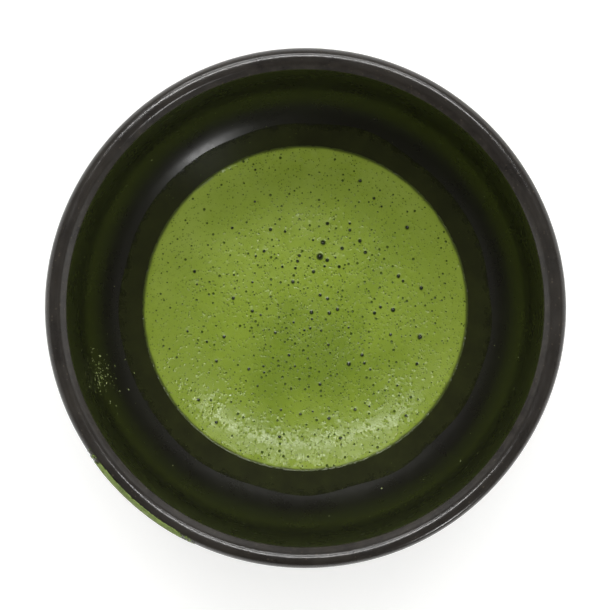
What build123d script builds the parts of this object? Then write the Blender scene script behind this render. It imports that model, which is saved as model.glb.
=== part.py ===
from build123d import *
import math
import os

# A turned and glazed tea bowl on a luted foot ring, holding whisked powdered tea.
# Millimetres. The origin is the centre of the foot, on the surface it stands on, +Z up.
#
# Every section is drawn in the half plane y = 0, x > 0, and turned about the Z axis.
# A slope is given as its tilt: 0 is level, 90 is upright, more than 90 leans back over.

# Bowl
RIM_DIAMETER = 120.0
BOWL_HEIGHT = 75.0
LIP_WIDTH = 5.0
GLAZE_THICKNESS = 0.4
FLOOR_THICKNESS = 5.0

# Inside shape, measured on the glaze
FLOOR_CURVE_RADIUS = 50.0
INNER_HIP_TILT = 35.0
INNER_WAIST_RADIUS = 18.0
INNER_WALL_TILT = 89.2

# Outside shape, measured on the glaze
OUTER_HIP_TILT = 33.0
OUTER_WAIST_RADIUS = 24.0
OUTER_WALL_TILT = 89.2
GLAZE_LINE_ABOVE_FOOT = 4.5

# Lip
LIP_BEVEL_TILT = 42.0
LIP_INNER_ROUND = 2.2
LIP_OUTER_ROUND = 2.3

# Foot
FOOT_DIAMETER = 52.0
FOOT_HEIGHT = 6.5
FOOT_WIDTH = 5.5
FOOT_TAPER = 0.8
FOOT_ROUND = 1.0
CONE_RADIUS = 7.0
CONE_HEIGHT = 0.9

# Tea
FROTH_EDGE_RADIUS = 41.0
FROTH_FLAT_RADIUS = 24.0
FROTH_CLIMB = 4.0
FROTH_DEPTH = 4.5
FILM_THICKNESS = 0.15
FILM_REACH = 4.2

# Standing bubbles: azimuth, distance from the axis, radius
BUBBLES = (
    (74.2, 13.6, 0.90),
    (74.9, 17.2, 0.70),
    (65.5, 13.4, 0.50),
    (58.5, 17.8, 0.50),
    (51.0, 22.0, 0.52),
    (43.0, 20.8, 0.50),
    (346.0, 30.0, 0.72),
    (10.0, 29.9, 0.60),
    (19.0, 25.0, 0.55),
    (359.0, 22.2, 0.60),
    (329.0, 1.9, 0.58),
    (349.0, 6.2, 0.50),
    (115.0, 7.4, 0.50),
    (308.0, 17.9, 0.58),
    (320.5, 18.6, 0.50),
    (38.5, 33.0, 0.60),
)
BUBBLE_SINK = 0.45

# Dried splashes on the wall: azimuth, height above the froth edge, radius
SPLASHES = (
    (193.0, 9.4, 0.40),
    (195.0, 10.6, 0.30),
    (197.2, 12.6, 0.42),
    (198.5, 11.4, 0.30),
    (199.8, 12.9, 0.38),
    (200.6, 10.0, 0.28),
    (202.0, 14.2, 0.30),
    (200.0, 26.0, 0.28),
    (204.7, 5.2, 0.30),
    (167.0, 21.0, 0.30),
    (136.0, 10.4, 0.32),
    (339.0, 16.0, 0.32),
    (315.5, 12.2, 0.28),
    (293.0, 5.4, 0.32),
)
SPLASH_SINK = 0.35
SPLASH_CUT_AZIMUTH = 90

# Run of tea over the outside of the lip, as tongues side by side:
# the width of each in degrees, and how far below the rim it ends
RUN_AZIMUTH = 213.0
RUN_TONGUES = (
    (5.0, 4.5),
    (7.0, 9.0),
    (7.5, 13.0),
    (6.5, 7.5),
    (5.5, 5.0),
)
RUN_THICKNESS = 0.25
RUN_START_TILT = 150.0

# Worked out from the sizes above
RIM_RADIUS = RIM_DIAMETER / 2
FOOT_RADIUS = FOOT_DIAMETER / 2
FLOOR_Z = FOOT_HEIGHT + FLOOR_THICKNESS + GLAZE_THICKNESS
LIP_CREST_R = RIM_RADIUS - LIP_OUTER_ROUND


def outward(tilt):
    """Unit normal, as (r, z), on the outer side of a surface that rises at this tilt."""
    angle = math.radians(tilt)
    return (math.sin(angle), -math.cos(angle))


def moved(point, tilt, distance):
    """The point carried along the outward normal of a slope."""
    normal = outward(tilt)
    return (point[0] + distance * normal[0], point[1] + distance * normal[1])


def meet(first, first_tilt, second, second_tilt):
    """Where two straight slopes cross, each given by a point on it and its tilt."""
    ux, uz = math.cos(math.radians(first_tilt)), math.sin(math.radians(first_tilt))
    vx, vz = math.cos(math.radians(second_tilt)), math.sin(math.radians(second_tilt))
    dx, dz = second[0] - first[0], second[1] - first[1]
    along = (dx * vz - dz * vx) / (ux * vz - uz * vx)
    return (first[0] + along * ux, first[1] + along * uz)


def straight(start, end):
    """A straight edge of a section."""
    return Line((start[0], 0, start[1]), (end[0], 0, end[1]))


def round_edge(centre, radius, first_tilt, last_tilt):
    """A round edge of a section, between the two places where it has these tilts."""
    middle_tilt = (first_tilt + last_tilt) / 2
    points = [moved(centre, tilt, radius) for tilt in (first_tilt, middle_tilt, last_tilt)]
    return ThreePointArc(*[(r, 0, z) for r, z in points])


def turned(edges):
    """The solid that a closed section makes when it is turned about the axis."""
    return revolve(Face(Wire(edges)), Axis.Z)


# Inside surface. Depth is how far below the glaze's own surface the outline runs.

FLOOR_CENTRE = (0.0, FLOOR_Z + FLOOR_CURVE_RADIUS)
LIP_INNER_CENTRE = (LIP_CREST_R, BOWL_HEIGHT - LIP_INNER_ROUND)
LIP_OUTER_CENTRE = (LIP_CREST_R, BOWL_HEIGHT - LIP_OUTER_ROUND)
BEVEL_TILT = 180.0 + LIP_BEVEL_TILT
BEVEL_POINT = moved(LIP_INNER_CENTRE, BEVEL_TILT, LIP_INNER_ROUND)
LIP_EDGE = meet(BEVEL_POINT, BEVEL_TILT, (RIM_RADIUS - LIP_WIDTH, 0), 90.0)
HIP_POINT = moved(FLOOR_CENTRE, INNER_HIP_TILT, FLOOR_CURVE_RADIUS)
WAIST_CENTRE = meet(
    moved(HIP_POINT, INNER_HIP_TILT, -INNER_WAIST_RADIUS),
    INNER_HIP_TILT,
    moved(LIP_EDGE, INNER_WALL_TILT, -INNER_WAIST_RADIUS),
    INNER_WALL_TILT,
)


def lip_edge(depth):
    """The sharp inner edge of the lip, where the bevel meets the upright wall."""
    return meet(
        moved(BEVEL_POINT, BEVEL_TILT, -depth),
        BEVEL_TILT,
        moved(LIP_EDGE, INNER_WALL_TILT, depth),
        INNER_WALL_TILT,
    )


def inside_edges(depth):
    """Edges of the inside from the axis up to the sharp edge of the lip."""
    hip = moved(HIP_POINT, INNER_HIP_TILT, depth)
    waist_low = moved(WAIST_CENTRE, INNER_HIP_TILT, INNER_WAIST_RADIUS + depth)
    waist_high = moved(WAIST_CENTRE, INNER_WALL_TILT, INNER_WAIST_RADIUS + depth)
    return [
        round_edge(FLOOR_CENTRE, FLOOR_CURVE_RADIUS + depth, 0, INNER_HIP_TILT),
        straight(hip, waist_low),
        round_edge(WAIST_CENTRE, INNER_WAIST_RADIUS + depth, INNER_HIP_TILT, INNER_WALL_TILT),
        straight(waist_high, lip_edge(depth)),
    ]


def inside_height(radius):
    """Height of the glazed inside at a distance from the axis, below the upright wall."""
    waist_low = moved(WAIST_CENTRE, INNER_HIP_TILT, INNER_WAIST_RADIUS)
    if radius < HIP_POINT[0]:
        return FLOOR_CENTRE[1] - math.sqrt(FLOOR_CURVE_RADIUS**2 - radius**2)
    if radius < waist_low[0]:
        return HIP_POINT[1] + (radius - HIP_POINT[0]) * math.tan(math.radians(INNER_HIP_TILT))
    across = radius - WAIST_CENTRE[0]
    return WAIST_CENTRE[1] - math.sqrt(INNER_WAIST_RADIUS**2 - across**2)


def inside_place(height):
    """The glazed inside's point at a height above the floor's curve, and its tilt there."""
    waist_low = moved(WAIST_CENTRE, INNER_HIP_TILT, INNER_WAIST_RADIUS)
    waist_high = moved(WAIST_CENTRE, INNER_WALL_TILT, INNER_WAIST_RADIUS)
    if height < waist_low[1]:
        return meet(HIP_POINT, INNER_HIP_TILT, (0, height), 0), INNER_HIP_TILT
    if height < waist_high[1]:
        tilt = math.degrees(math.acos((WAIST_CENTRE[1] - height) / INNER_WAIST_RADIUS))
        return moved(WAIST_CENTRE, tilt, INNER_WAIST_RADIUS), tilt
    return meet(LIP_EDGE, INNER_WALL_TILT, (0, height), 0), INNER_WALL_TILT


def inside_room(depth):
    """The room inside the bowl, as a solid, up to the sharp edge of the lip."""
    edges = inside_edges(depth)
    floor = edges[0] @ 0
    edge = edges[-1] @ 1
    top = straight((edge.X, edge.Z), (0, edge.Z))
    axis = straight((0, edge.Z), (0, floor.Z))
    return turned(edges + [top, axis])


# Outside surface. Depth is how far below the glaze's own surface the outline runs.

OUTER_HIP_POINT = moved((FOOT_RADIUS, FOOT_HEIGHT), OUTER_HIP_TILT, GLAZE_THICKNESS)
OUTER_WALL_POINT = moved(LIP_OUTER_CENTRE, OUTER_WALL_TILT, LIP_OUTER_ROUND)
OUTER_WAIST_CENTRE = meet(
    moved(OUTER_HIP_POINT, OUTER_HIP_TILT, -OUTER_WAIST_RADIUS),
    OUTER_HIP_TILT,
    moved(OUTER_WALL_POINT, OUTER_WALL_TILT, -OUTER_WAIST_RADIUS),
    OUTER_WALL_TILT,
)


def lip_edges(depth, start_tilt=BEVEL_TILT):
    """Edges of the rounded lip, from the bevel or a place on the outer round, outwards."""
    outer = LIP_OUTER_ROUND - depth
    if start_tilt < 180:
        return [round_edge(LIP_OUTER_CENTRE, outer, start_tilt, OUTER_WALL_TILT)]
    inner = LIP_INNER_ROUND - depth
    return [
        straight(lip_edge(depth), moved(LIP_INNER_CENTRE, BEVEL_TILT, inner)),
        round_edge(LIP_INNER_CENTRE, inner, BEVEL_TILT, 180),
        round_edge(LIP_OUTER_CENTRE, outer, 180, OUTER_WALL_TILT),
    ]


def outside_edges(depth, foot_end):
    """Edges of the outside from the lip down to a point on the hip."""
    radius = OUTER_WAIST_RADIUS - depth
    wall_top = moved(OUTER_WALL_POINT, OUTER_WALL_TILT, -depth)
    waist_high = moved(OUTER_WAIST_CENTRE, OUTER_WALL_TILT, radius)
    waist_low = moved(OUTER_WAIST_CENTRE, OUTER_HIP_TILT, radius)
    return [
        straight(wall_top, waist_high),
        round_edge(OUTER_WAIST_CENTRE, radius, OUTER_WALL_TILT, OUTER_HIP_TILT),
        straight(waist_low, foot_end),
    ]


def clay_body():
    """The turned clay: floor, hip, wall and lip, without its glaze or its foot ring."""
    inside = inside_edges(GLAZE_THICKNESS)
    foot_corner = (FOOT_RADIUS, FOOT_HEIGHT)
    outside = outside_edges(GLAZE_THICKNESS, foot_corner)
    cone_edge = (CONE_RADIUS, FOOT_HEIGHT)
    cone_tip = (0, FOOT_HEIGHT - CONE_HEIGHT)
    under = [straight(foot_corner, cone_edge), straight(cone_edge, cone_tip)]
    axis = [straight(cone_tip, (0, FLOOR_Z - GLAZE_THICKNESS))]
    return turned(inside + lip_edges(GLAZE_THICKNESS) + outside + under + axis)


def foot_ring():
    """The clay ring luted under the body, tapered on both sides and rounded where it stands."""
    inner = FOOT_RADIUS - FOOT_WIDTH
    top_in, top_out = (inner, FOOT_HEIGHT), (FOOT_RADIUS, FOOT_HEIGHT)
    low_out, low_in = (FOOT_RADIUS - FOOT_TAPER, 0), (inner + FOOT_TAPER, 0)
    corners = [top_in, low_in, low_out, top_out]
    sides = [straight(a, b) for a, b in zip(corners, corners[1:] + corners[:1])]
    section = Face(Wire(sides))
    standing = section.vertices().group_by(Axis.Z)[0]
    return revolve(section.fillet_2d(FOOT_ROUND, standing), Axis.Z)


def inner_glaze():
    """The glassy coat of the inside, from the middle of the floor to the lip's sharp edge."""
    surface = inside_edges(0)
    under = inside_edges(GLAZE_THICKNESS)
    mitre = straight(lip_edge(0), lip_edge(GLAZE_THICKNESS))
    axis = straight((0, FLOOR_Z - GLAZE_THICKNESS), (0, FLOOR_Z))
    return turned(surface + [mitre] + under + [axis])


def outer_glaze():
    """The coat of the lip and the outside, ending in a line above the bare clay of the foot."""
    line_r = FOOT_RADIUS + GLAZE_LINE_ABOVE_FOOT / math.tan(math.radians(OUTER_HIP_TILT))
    clay_end = (line_r, FOOT_HEIGHT + GLAZE_LINE_ABOVE_FOOT)
    glaze_end = moved(clay_end, OUTER_HIP_TILT, GLAZE_THICKNESS)
    surface = lip_edges(0) + outside_edges(0, glaze_end)
    under = lip_edges(GLAZE_THICKNESS) + outside_edges(GLAZE_THICKNESS, clay_end)
    mitre = straight(lip_edge(0), lip_edge(GLAZE_THICKNESS))
    return turned(surface + [straight(glaze_end, clay_end)] + under + [mitre])


FROTH_EDGE_Z = inside_height(FROTH_EDGE_RADIUS)
FROTH_Z = FROTH_EDGE_Z - FROTH_CLIMB
TEA_Z = FROTH_Z - FROTH_DEPTH
FROTH_SPAN = FROTH_EDGE_RADIUS - FROTH_FLAT_RADIUS
FROTH_CURVE_RADIUS = (FROTH_SPAN**2 + FROTH_CLIMB**2) / (2 * FROTH_CLIMB)


def froth_height(radius):
    """Height of the froth's surface: flat in the middle and climbing towards the wall."""
    across = max(radius - FROTH_FLAT_RADIUS, 0)
    return FROTH_Z + FROTH_CURVE_RADIUS - math.sqrt(FROTH_CURVE_RADIUS**2 - across**2)


def tea_and_froth():
    """The liquid tea on the floor of the bowl, and the froth that floats on it."""
    room = inside_room(0)
    climb_tilt = math.degrees(math.asin(FROTH_SPAN / FROTH_CURVE_RADIUS))
    curve_centre = (FROTH_FLAT_RADIUS, FROTH_Z + FROTH_CURVE_RADIUS)
    edge = (FROTH_EDGE_RADIUS, FROTH_EDGE_Z)
    below = turned(
        [
            straight((0, TEA_Z), (0, FROTH_Z)),
            straight((0, FROTH_Z), (FROTH_FLAT_RADIUS, FROTH_Z)),
            round_edge(curve_centre, FROTH_CURVE_RADIUS, 0, climb_tilt),
            straight(edge, (RIM_RADIUS, FROTH_EDGE_Z)),
            straight((RIM_RADIUS, FROTH_EDGE_Z), (RIM_RADIUS, TEA_Z)),
            straight((RIM_RADIUS, TEA_Z), (0, TEA_Z)),
        ]
    )
    liquid_height = TEA_Z - FLOOR_Z
    liquid = Pos(0, 0, FLOOR_Z + liquid_height / 2) * Cylinder(RIM_RADIUS, liquid_height)
    return room & liquid, room & below


def on_circle(azimuth, radius, height):
    """A place at an azimuth, in degrees from +X towards +Y."""
    angle = math.radians(azimuth)
    return Pos(radius * math.cos(angle), radius * math.sin(angle), height)


def froth_bubbles(froth):
    """Large bubbles that stand on the froth, each a dome sunk a little below its middle."""
    domes = []
    for azimuth, distance, radius in BUBBLES:
        height = froth_height(distance) - BUBBLE_SINK * radius
        domes.append(on_circle(azimuth, distance, height) * Sphere(radius) - froth)
    return domes


def tea_film():
    """The wet band that the tea has left on the wall just above the froth."""
    coat = inside_room(0) - inside_room(-FILM_THICKNESS)
    slab = Pos(0, 0, FROTH_EDGE_Z + FILM_REACH / 2) * Cylinder(RIM_RADIUS, FILM_REACH)
    return coat & slab


def wall_splashes(film):
    """Small dried drops on the inside wall, each a low dome cut at one azimuth and then turned."""
    room = inside_room(0) - film
    drops = []
    for azimuth, above, radius in SPLASHES:
        point, tilt = inside_place(FROTH_EDGE_Z + above)
        distance, height = moved(point, tilt, SPLASH_SINK * radius)
        pole_to_wall = Rot(0, 0, SPLASH_CUT_AZIMUTH) * Rot(0, 180 - tilt, 0)
        ball = on_circle(SPLASH_CUT_AZIMUTH, distance, height) * pole_to_wall * Sphere(radius)
        drops.append(Rot(0, 0, azimuth - SPLASH_CUT_AZIMUTH) * (ball & room))
    return drops


def lip_run():
    """The run of tea that has gone over the lip and down the outside, in joined tongues."""
    start = moved(LIP_OUTER_CENTRE, RUN_START_TILT, LIP_OUTER_ROUND)
    start_out = moved(LIP_OUTER_CENTRE, RUN_START_TILT, LIP_OUTER_ROUND + RUN_THICKNESS)
    wall = moved(LIP_OUTER_CENTRE, OUTER_WALL_TILT, LIP_OUTER_ROUND)
    wall_out = moved(wall, OUTER_WALL_TILT, RUN_THICKNESS)
    tongues = []
    azimuth = RUN_AZIMUTH
    for width, drop in RUN_TONGUES:
        end = meet(wall, OUTER_WALL_TILT, (0, BOWL_HEIGHT - drop), 0)
        end_out = moved(end, OUTER_WALL_TILT, RUN_THICKNESS)
        section = Face(
            Wire(
                lip_edges(0, RUN_START_TILT)
                + [straight(wall, end), straight(end, end_out), straight(end_out, wall_out)]
                + lip_edges(-RUN_THICKNESS, RUN_START_TILT)
                + [straight(start_out, start)]
            )
        )
        tongues.append(Rot(0, 0, azimuth) * revolve(section, Axis.Z, width))
        azimuth += width
    return tongues[0].fuse(*tongues[1:])


def write(name, shapes):
    """One file for each sub-part; a group's file holds its separate solids."""
    solids = [solid for shape in shapes for solid in shape.solids()]
    node = solids[0] if len(solids) == 1 else Compound(children=solids)
    node.label = name
    export_step(node, f"parts/{name}.step")


def main():
    """Build every sub-part and write it."""
    os.makedirs("parts", exist_ok=True)
    tea, froth = tea_and_froth()
    film = tea_film()
    write("clay_body", [clay_body()])
    write("foot_ring", [foot_ring()])
    write("inner_glaze", [inner_glaze()])
    write("outer_glaze", [outer_glaze()])
    write("tea", [tea])
    write("froth", [froth])
    write("froth_bubbles", froth_bubbles(froth))
    write("tea_film", [film])
    write("wall_splashes", wall_splashes(film))
    write("lip_run", [lip_run()])


main()
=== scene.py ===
"""The looks of a glazed tea bowl that holds whisked green tea.

Every size is in metres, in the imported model's own frame: the bowl's axis is +Z, and it stands on
z = 0. Surfaces of revolution are drawn as a section, as distances from the axis and heights, and
turned. A slope is given as its tilt in degrees: 0 is level and 90 is upright.
"""

from __future__ import annotations

import logging
import math
import random
from abc import ABC, abstractmethod
from dataclasses import dataclass, field
from enum import Enum
from functools import cached_property
from typing import Callable, Iterable, Optional, Sequence

import bpy
import numpy as np
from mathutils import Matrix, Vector, geometry, noise


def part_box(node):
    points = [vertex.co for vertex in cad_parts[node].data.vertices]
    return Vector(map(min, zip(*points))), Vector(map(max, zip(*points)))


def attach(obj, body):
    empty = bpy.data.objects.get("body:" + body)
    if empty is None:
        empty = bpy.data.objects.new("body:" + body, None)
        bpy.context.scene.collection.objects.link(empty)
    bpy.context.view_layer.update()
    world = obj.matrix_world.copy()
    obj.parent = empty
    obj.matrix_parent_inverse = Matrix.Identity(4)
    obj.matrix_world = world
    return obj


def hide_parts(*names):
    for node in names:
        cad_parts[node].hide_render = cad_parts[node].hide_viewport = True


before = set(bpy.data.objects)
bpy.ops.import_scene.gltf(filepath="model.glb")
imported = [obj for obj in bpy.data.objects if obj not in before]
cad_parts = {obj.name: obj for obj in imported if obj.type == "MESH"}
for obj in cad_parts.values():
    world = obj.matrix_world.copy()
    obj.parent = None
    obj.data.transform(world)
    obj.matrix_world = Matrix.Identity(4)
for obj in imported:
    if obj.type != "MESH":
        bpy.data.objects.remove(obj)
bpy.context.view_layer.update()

MM = 0.001
BODY = "root"
SAME_POINT = 0.01 * MM
LOG = logging.getLogger("tea_bowl")

Relief = Callable[[np.ndarray, np.ndarray], np.ndarray]
Face = tuple[int, ...]
Point = tuple[float, float, float]
Socket = bpy.types.NodeSocket


class Slot(Enum):
    """The record's material slots."""

    BARE_CLAY = "bare_clay"
    INNER_GLAZE = "inner_glaze"
    OUTER_GLAZE = "outer_glaze"
    LIQUID_TEA = "liquid_tea"
    TEA_FROTH = "tea_froth"
    WET_FILM = "wet_tea_film"
    TEA_SMEAR = "tea_smear"


class Colour(Enum):
    """Linear base colours of the bowl and of the tea."""

    INSIDE_DARK = (0.0104, 0.0096, 0.0074)
    INSIDE_GREEN = (0.0130, 0.0132, 0.0078)
    LIP_BODY = (0.0130, 0.0112, 0.0096)
    LIP_THIN = (0.0560, 0.0490, 0.0400)
    LIP_SPECK = (0.1100, 0.0900, 0.0650)
    CLAY = (0.0900, 0.0640, 0.0450)
    CLAY_PALE = (0.1500, 0.1120, 0.0800)
    CLAY_GRIT = (0.0250, 0.0180, 0.0140)
    # FROTH_PALE is also the colour of the froth's painted sheen.
    FROTH_PALE = (0.2500, 0.3320, 0.0440)
    FROTH_MID = (0.1980, 0.2760, 0.0220)
    FROTH_DEEP = (0.1420, 0.2100, 0.0130)
    FROTH_HOLLOW = (0.0420, 0.0660, 0.0075)
    # FROTH_RIM is also the froth's painted shade where it meets the wall.
    FROTH_RIM = (0.0480, 0.0640, 0.0100)
    BUBBLE_DARK = (0.0080, 0.0100, 0.0060)
    BUBBLE_GREEN = (0.0500, 0.0750, 0.0120)
    FILM = (0.0250, 0.0285, 0.0095)
    FILM_THIN = (0.0180, 0.0195, 0.0080)
    DRY_TEA = (0.1900, 0.2600, 0.0550)
    SPLASH_PALE = (0.4000, 0.4300, 0.2100)
    DRY_TEA_DARK = (0.0900, 0.1300, 0.0250)
    FLOOR = (0.8600, 0.8600, 0.8500)

    @property
    def rgba(self) -> tuple[float, float, float, float]:
        """The colour with full alpha, as a socket takes it."""
        return (*self.value, 1.0)


# ---------------------------------------------------------------- sections


def outward(tilt: float) -> np.ndarray:
    """Unit normal, as (distance, height), of a surface that rises outwards at a tilt.

    Args:
        tilt: Slope in degrees.

    Returns:
        The normal on the surface's outer side.
    """
    angle = math.radians(tilt)
    return np.array((math.sin(angle), -math.cos(angle)))


def along(tilt: float) -> np.ndarray:
    """Unit direction, as (distance, height), of a slope with a tilt in degrees."""
    angle = math.radians(tilt)
    return np.array((math.cos(angle), math.sin(angle)))


def meet(
    first: np.ndarray, first_tilt: float, second: np.ndarray, second_tilt: float
) -> np.ndarray:
    """Where two straight slopes cross.

    Args:
        first: A point of the first slope.
        first_tilt: The first slope's tilt.
        second: A point of the second slope.
        second_tilt: The second slope's tilt.

    Returns:
        The crossing point.
    """
    u, v = along(first_tilt), along(second_tilt)
    gap = second - first
    share = (gap[0] * v[1] - gap[1] * v[0]) / (u[0] * v[1] - u[1] * v[0])
    return first + share * u


def arc(centre: np.ndarray, radius: float, first: float, last: float, step: float) -> np.ndarray:
    """Points of a round stretch of a section, between two tilts.

    Args:
        centre: The arc's centre.
        radius: Its radius.
        first: Tilt where it starts, in degrees.
        last: Tilt where it ends.
        step: Largest distance between points.

    Returns:
        The points, one row each.
    """
    length = abs(math.radians(last - first)) * radius
    count = max(int(math.ceil(length / step)), 2) + 1
    return np.array([centre + radius * outward(t) for t in np.linspace(first, last, count)])


def run(points: Sequence[np.ndarray], step: float) -> np.ndarray:
    """Points along straight stretches between corners.

    Args:
        points: The corners.
        step: Largest distance between points.

    Returns:
        The points, one row each, corners included.
    """
    rows = [np.asarray(points[0], float)]
    for start, end in zip(points, points[1:]):
        start, end = np.asarray(start, float), np.asarray(end, float)
        count = max(int(math.ceil(np.linalg.norm(end - start) / step)), 1)
        rows += [start + (end - start) * k / count for k in range(1, count + 1)]
    return np.array(rows)


def joined(*stretches: np.ndarray) -> np.ndarray:
    """Stretches of a section end to end, with points that coincide dropped.

    Args:
        *stretches: The points of each stretch, one row each.

    Returns:
        The points of the whole.
    """
    rows = [stretches[0][0]]
    for stretch in stretches:
        for point in stretch:
            if np.linalg.norm(point - rows[-1]) > SAME_POINT:
                rows.append(point)
    return np.array(rows)


@dataclass(frozen=True)
class BowlSection:
    """The section of the glazed bowl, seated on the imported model's own boxes."""

    floor_curve: float = 50.0 * MM
    inner_hip_tilt: float = 35.0
    inner_waist: float = 18.0 * MM
    outer_hip_tilt: float = 33.0
    outer_waist: float = 24.0 * MM
    wall_tilt: float = 89.2
    lip_tilt: float = 42.0
    lip_inner_round: float = 2.2 * MM
    lip_outer_round: float = 2.3 * MM
    glaze: float = 0.4 * MM
    step: float = 0.7 * MM

    @cached_property
    def rim_radius(self) -> float:
        """Distance from the axis to the outside of the lip."""
        low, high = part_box("outer_glaze")
        return max(high.x, -low.x, high.y, -low.y)

    @cached_property
    def height(self) -> float:
        """Height of the lip's crest."""
        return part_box("outer_glaze")[1].z

    @cached_property
    def lip_radius(self) -> float:
        """Distance from the axis to the sharp inner edge of the lip."""
        low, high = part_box("inner_glaze")
        return max(high.x, -low.x) - self.glaze

    @cached_property
    def floor_z(self) -> float:
        """Height of the glazed floor on the axis."""
        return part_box("inner_glaze")[0].z + self.glaze

    @cached_property
    def foot_radius(self) -> float:
        """Outer radius of the foot ring where it joins the body."""
        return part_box("foot_ring")[1].x

    @cached_property
    def foot_height(self) -> float:
        """Height of the foot ring."""
        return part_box("foot_ring")[1].z

    @cached_property
    def crest_radius(self) -> float:
        """Distance from the axis to the lip's crest."""
        return self.rim_radius - self.lip_outer_round

    @cached_property
    def bevel_tilt(self) -> float:
        """Tilt of the lip's inner bevel, seen as a surface that leans back over."""
        return 180.0 + self.lip_tilt

    @cached_property
    def lip_inner_centre(self) -> np.ndarray:
        """Centre of the round between the bevel and the crest."""
        return np.array((self.crest_radius, self.height - self.lip_inner_round))

    @cached_property
    def lip_outer_centre(self) -> np.ndarray:
        """Centre of the round between the crest and the outside wall."""
        return np.array((self.crest_radius, self.height - self.lip_outer_round))

    @cached_property
    def bevel_top(self) -> np.ndarray:
        """Where the bevel runs into the crest."""
        return self.lip_inner_centre + self.lip_inner_round * outward(self.bevel_tilt)

    @cached_property
    def lip_edge(self) -> np.ndarray:
        """The sharp inner edge of the lip."""
        return meet(self.bevel_top, self.bevel_tilt, np.array((self.lip_radius, 0.0)), 90.0)

    @cached_property
    def floor_centre(self) -> np.ndarray:
        """Centre of the floor's curve."""
        return np.array((0.0, self.floor_z + self.floor_curve))

    @cached_property
    def inner_hip(self) -> np.ndarray:
        """Where the floor's curve runs into the straight hip."""
        return self.floor_centre + self.floor_curve * outward(self.inner_hip_tilt)

    @cached_property
    def inner_waist_centre(self) -> np.ndarray:
        """Centre of the curve between the hip and the upright wall."""
        back = -self.inner_waist
        hip = self.inner_hip + back * outward(self.inner_hip_tilt)
        wall = self.lip_edge + back * outward(self.wall_tilt)
        return meet(hip, self.inner_hip_tilt, wall, self.wall_tilt)

    def inside(self, depth: float = 0.0) -> np.ndarray:
        """The inside from the axis to the lip's sharp edge, at a depth under the glaze.

        Args:
            depth: Distance below the glaze's surface; negative stands proud of it.

        Returns:
            The section's points.
        """
        hip, wall, waist = self.inner_hip_tilt, self.wall_tilt, self.inner_waist_centre
        waist_low = waist + (self.inner_waist + depth) * outward(hip)
        waist_high = waist + (self.inner_waist + depth) * outward(wall)
        wall_top = meet(
            self.bevel_top - depth * outward(self.bevel_tilt),
            self.bevel_tilt,
            self.lip_edge + depth * outward(wall),
            wall,
        )
        return joined(
            arc(self.floor_centre, self.floor_curve + depth, 0.0, hip, self.step),
            run([self.inner_hip + depth * outward(hip), waist_low], self.step),
            arc(waist, self.inner_waist + depth, hip, wall, self.step),
            run([waist_high, wall_top], self.step),
        )

    def inside_place(self, height: float) -> tuple[np.ndarray, float]:
        """The inside's point at a height above the floor's curve, and its tilt there.

        Args:
            height: Height above the table.

        Returns:
            The point, and the tilt in degrees.
        """
        waist = self.inner_waist_centre
        low = waist + self.inner_waist * outward(self.inner_hip_tilt)
        high = waist + self.inner_waist * outward(self.wall_tilt)
        level = np.array((0.0, height))
        if height < low[1]:
            return meet(self.inner_hip, self.inner_hip_tilt, level, 0.0), self.inner_hip_tilt
        if height < high[1]:
            tilt = math.degrees(math.acos((waist[1] - height) / self.inner_waist))
            return waist + self.inner_waist * outward(tilt), tilt
        return meet(self.lip_edge, self.wall_tilt, level, 0.0), self.wall_tilt

    def lip(self, depth: float = 0.0) -> np.ndarray:
        """The bevel and both rounds of the lip, from its sharp edge outwards.

        Args:
            depth: Distance below the glaze's surface.

        Returns:
            The section's points.
        """
        step = self.step / 3
        edge = self.inside(depth)[-1]
        inner, outer = self.lip_inner_round - depth, self.lip_outer_round - depth
        return joined(
            run([edge, self.lip_inner_centre + inner * outward(self.bevel_tilt)], step),
            arc(self.lip_inner_centre, inner, self.bevel_tilt, 180.0, step),
            arc(self.lip_outer_centre, outer, 180.0, self.wall_tilt, step),
        )

    def outside(self, depth: float, hip_end: np.ndarray) -> np.ndarray:
        """The outside from the lip down to a point on the hip.

        Args:
            depth: Distance below the glaze's surface.
            hip_end: Where it ends.

        Returns:
            The section's points.
        """
        hip, wall = self.outer_hip_tilt, self.wall_tilt
        foot = np.array((self.foot_radius, self.foot_height)) + self.glaze * outward(hip)
        wall_top = self.lip_outer_centre + self.lip_outer_round * outward(wall)
        back = -self.outer_waist
        centre = meet(foot + back * outward(hip), hip, wall_top + back * outward(wall), wall)
        radius = self.outer_waist - depth
        return joined(
            run([wall_top - depth * outward(wall), centre + radius * outward(wall)], self.step),
            arc(centre, radius, wall, hip, self.step),
            run([centre + radius * outward(hip), hip_end], self.step),
        )


@dataclass(frozen=True)
class Wobble:
    """A smooth relief that closes on itself round the bowl, as a sum of seeded waves."""

    seed: int
    depth: float
    around: tuple[int, int]
    length: float
    waves: int = 12

    def __call__(self, azimuth: np.ndarray, distance: np.ndarray) -> np.ndarray:
        """The relief's height at places of a turned surface.

        Args:
            azimuth: Azimuths, in radians.
            distance: Distances along the section.

        Returns:
            The heights.
        """
        draw = random.Random(self.seed)
        total = np.zeros(np.broadcast(azimuth, distance).shape)
        for _ in range(self.waves):
            turns = draw.randint(*self.around)
            pitch = self.length * draw.uniform(0.6, 1.8)
            phase = draw.uniform(0, math.tau)
            slant = draw.choice((-1, 1))
            total += np.cos(turns * azimuth + slant * math.tau * distance / pitch + phase)
        return self.depth * total / math.sqrt(self.waves)


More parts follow.
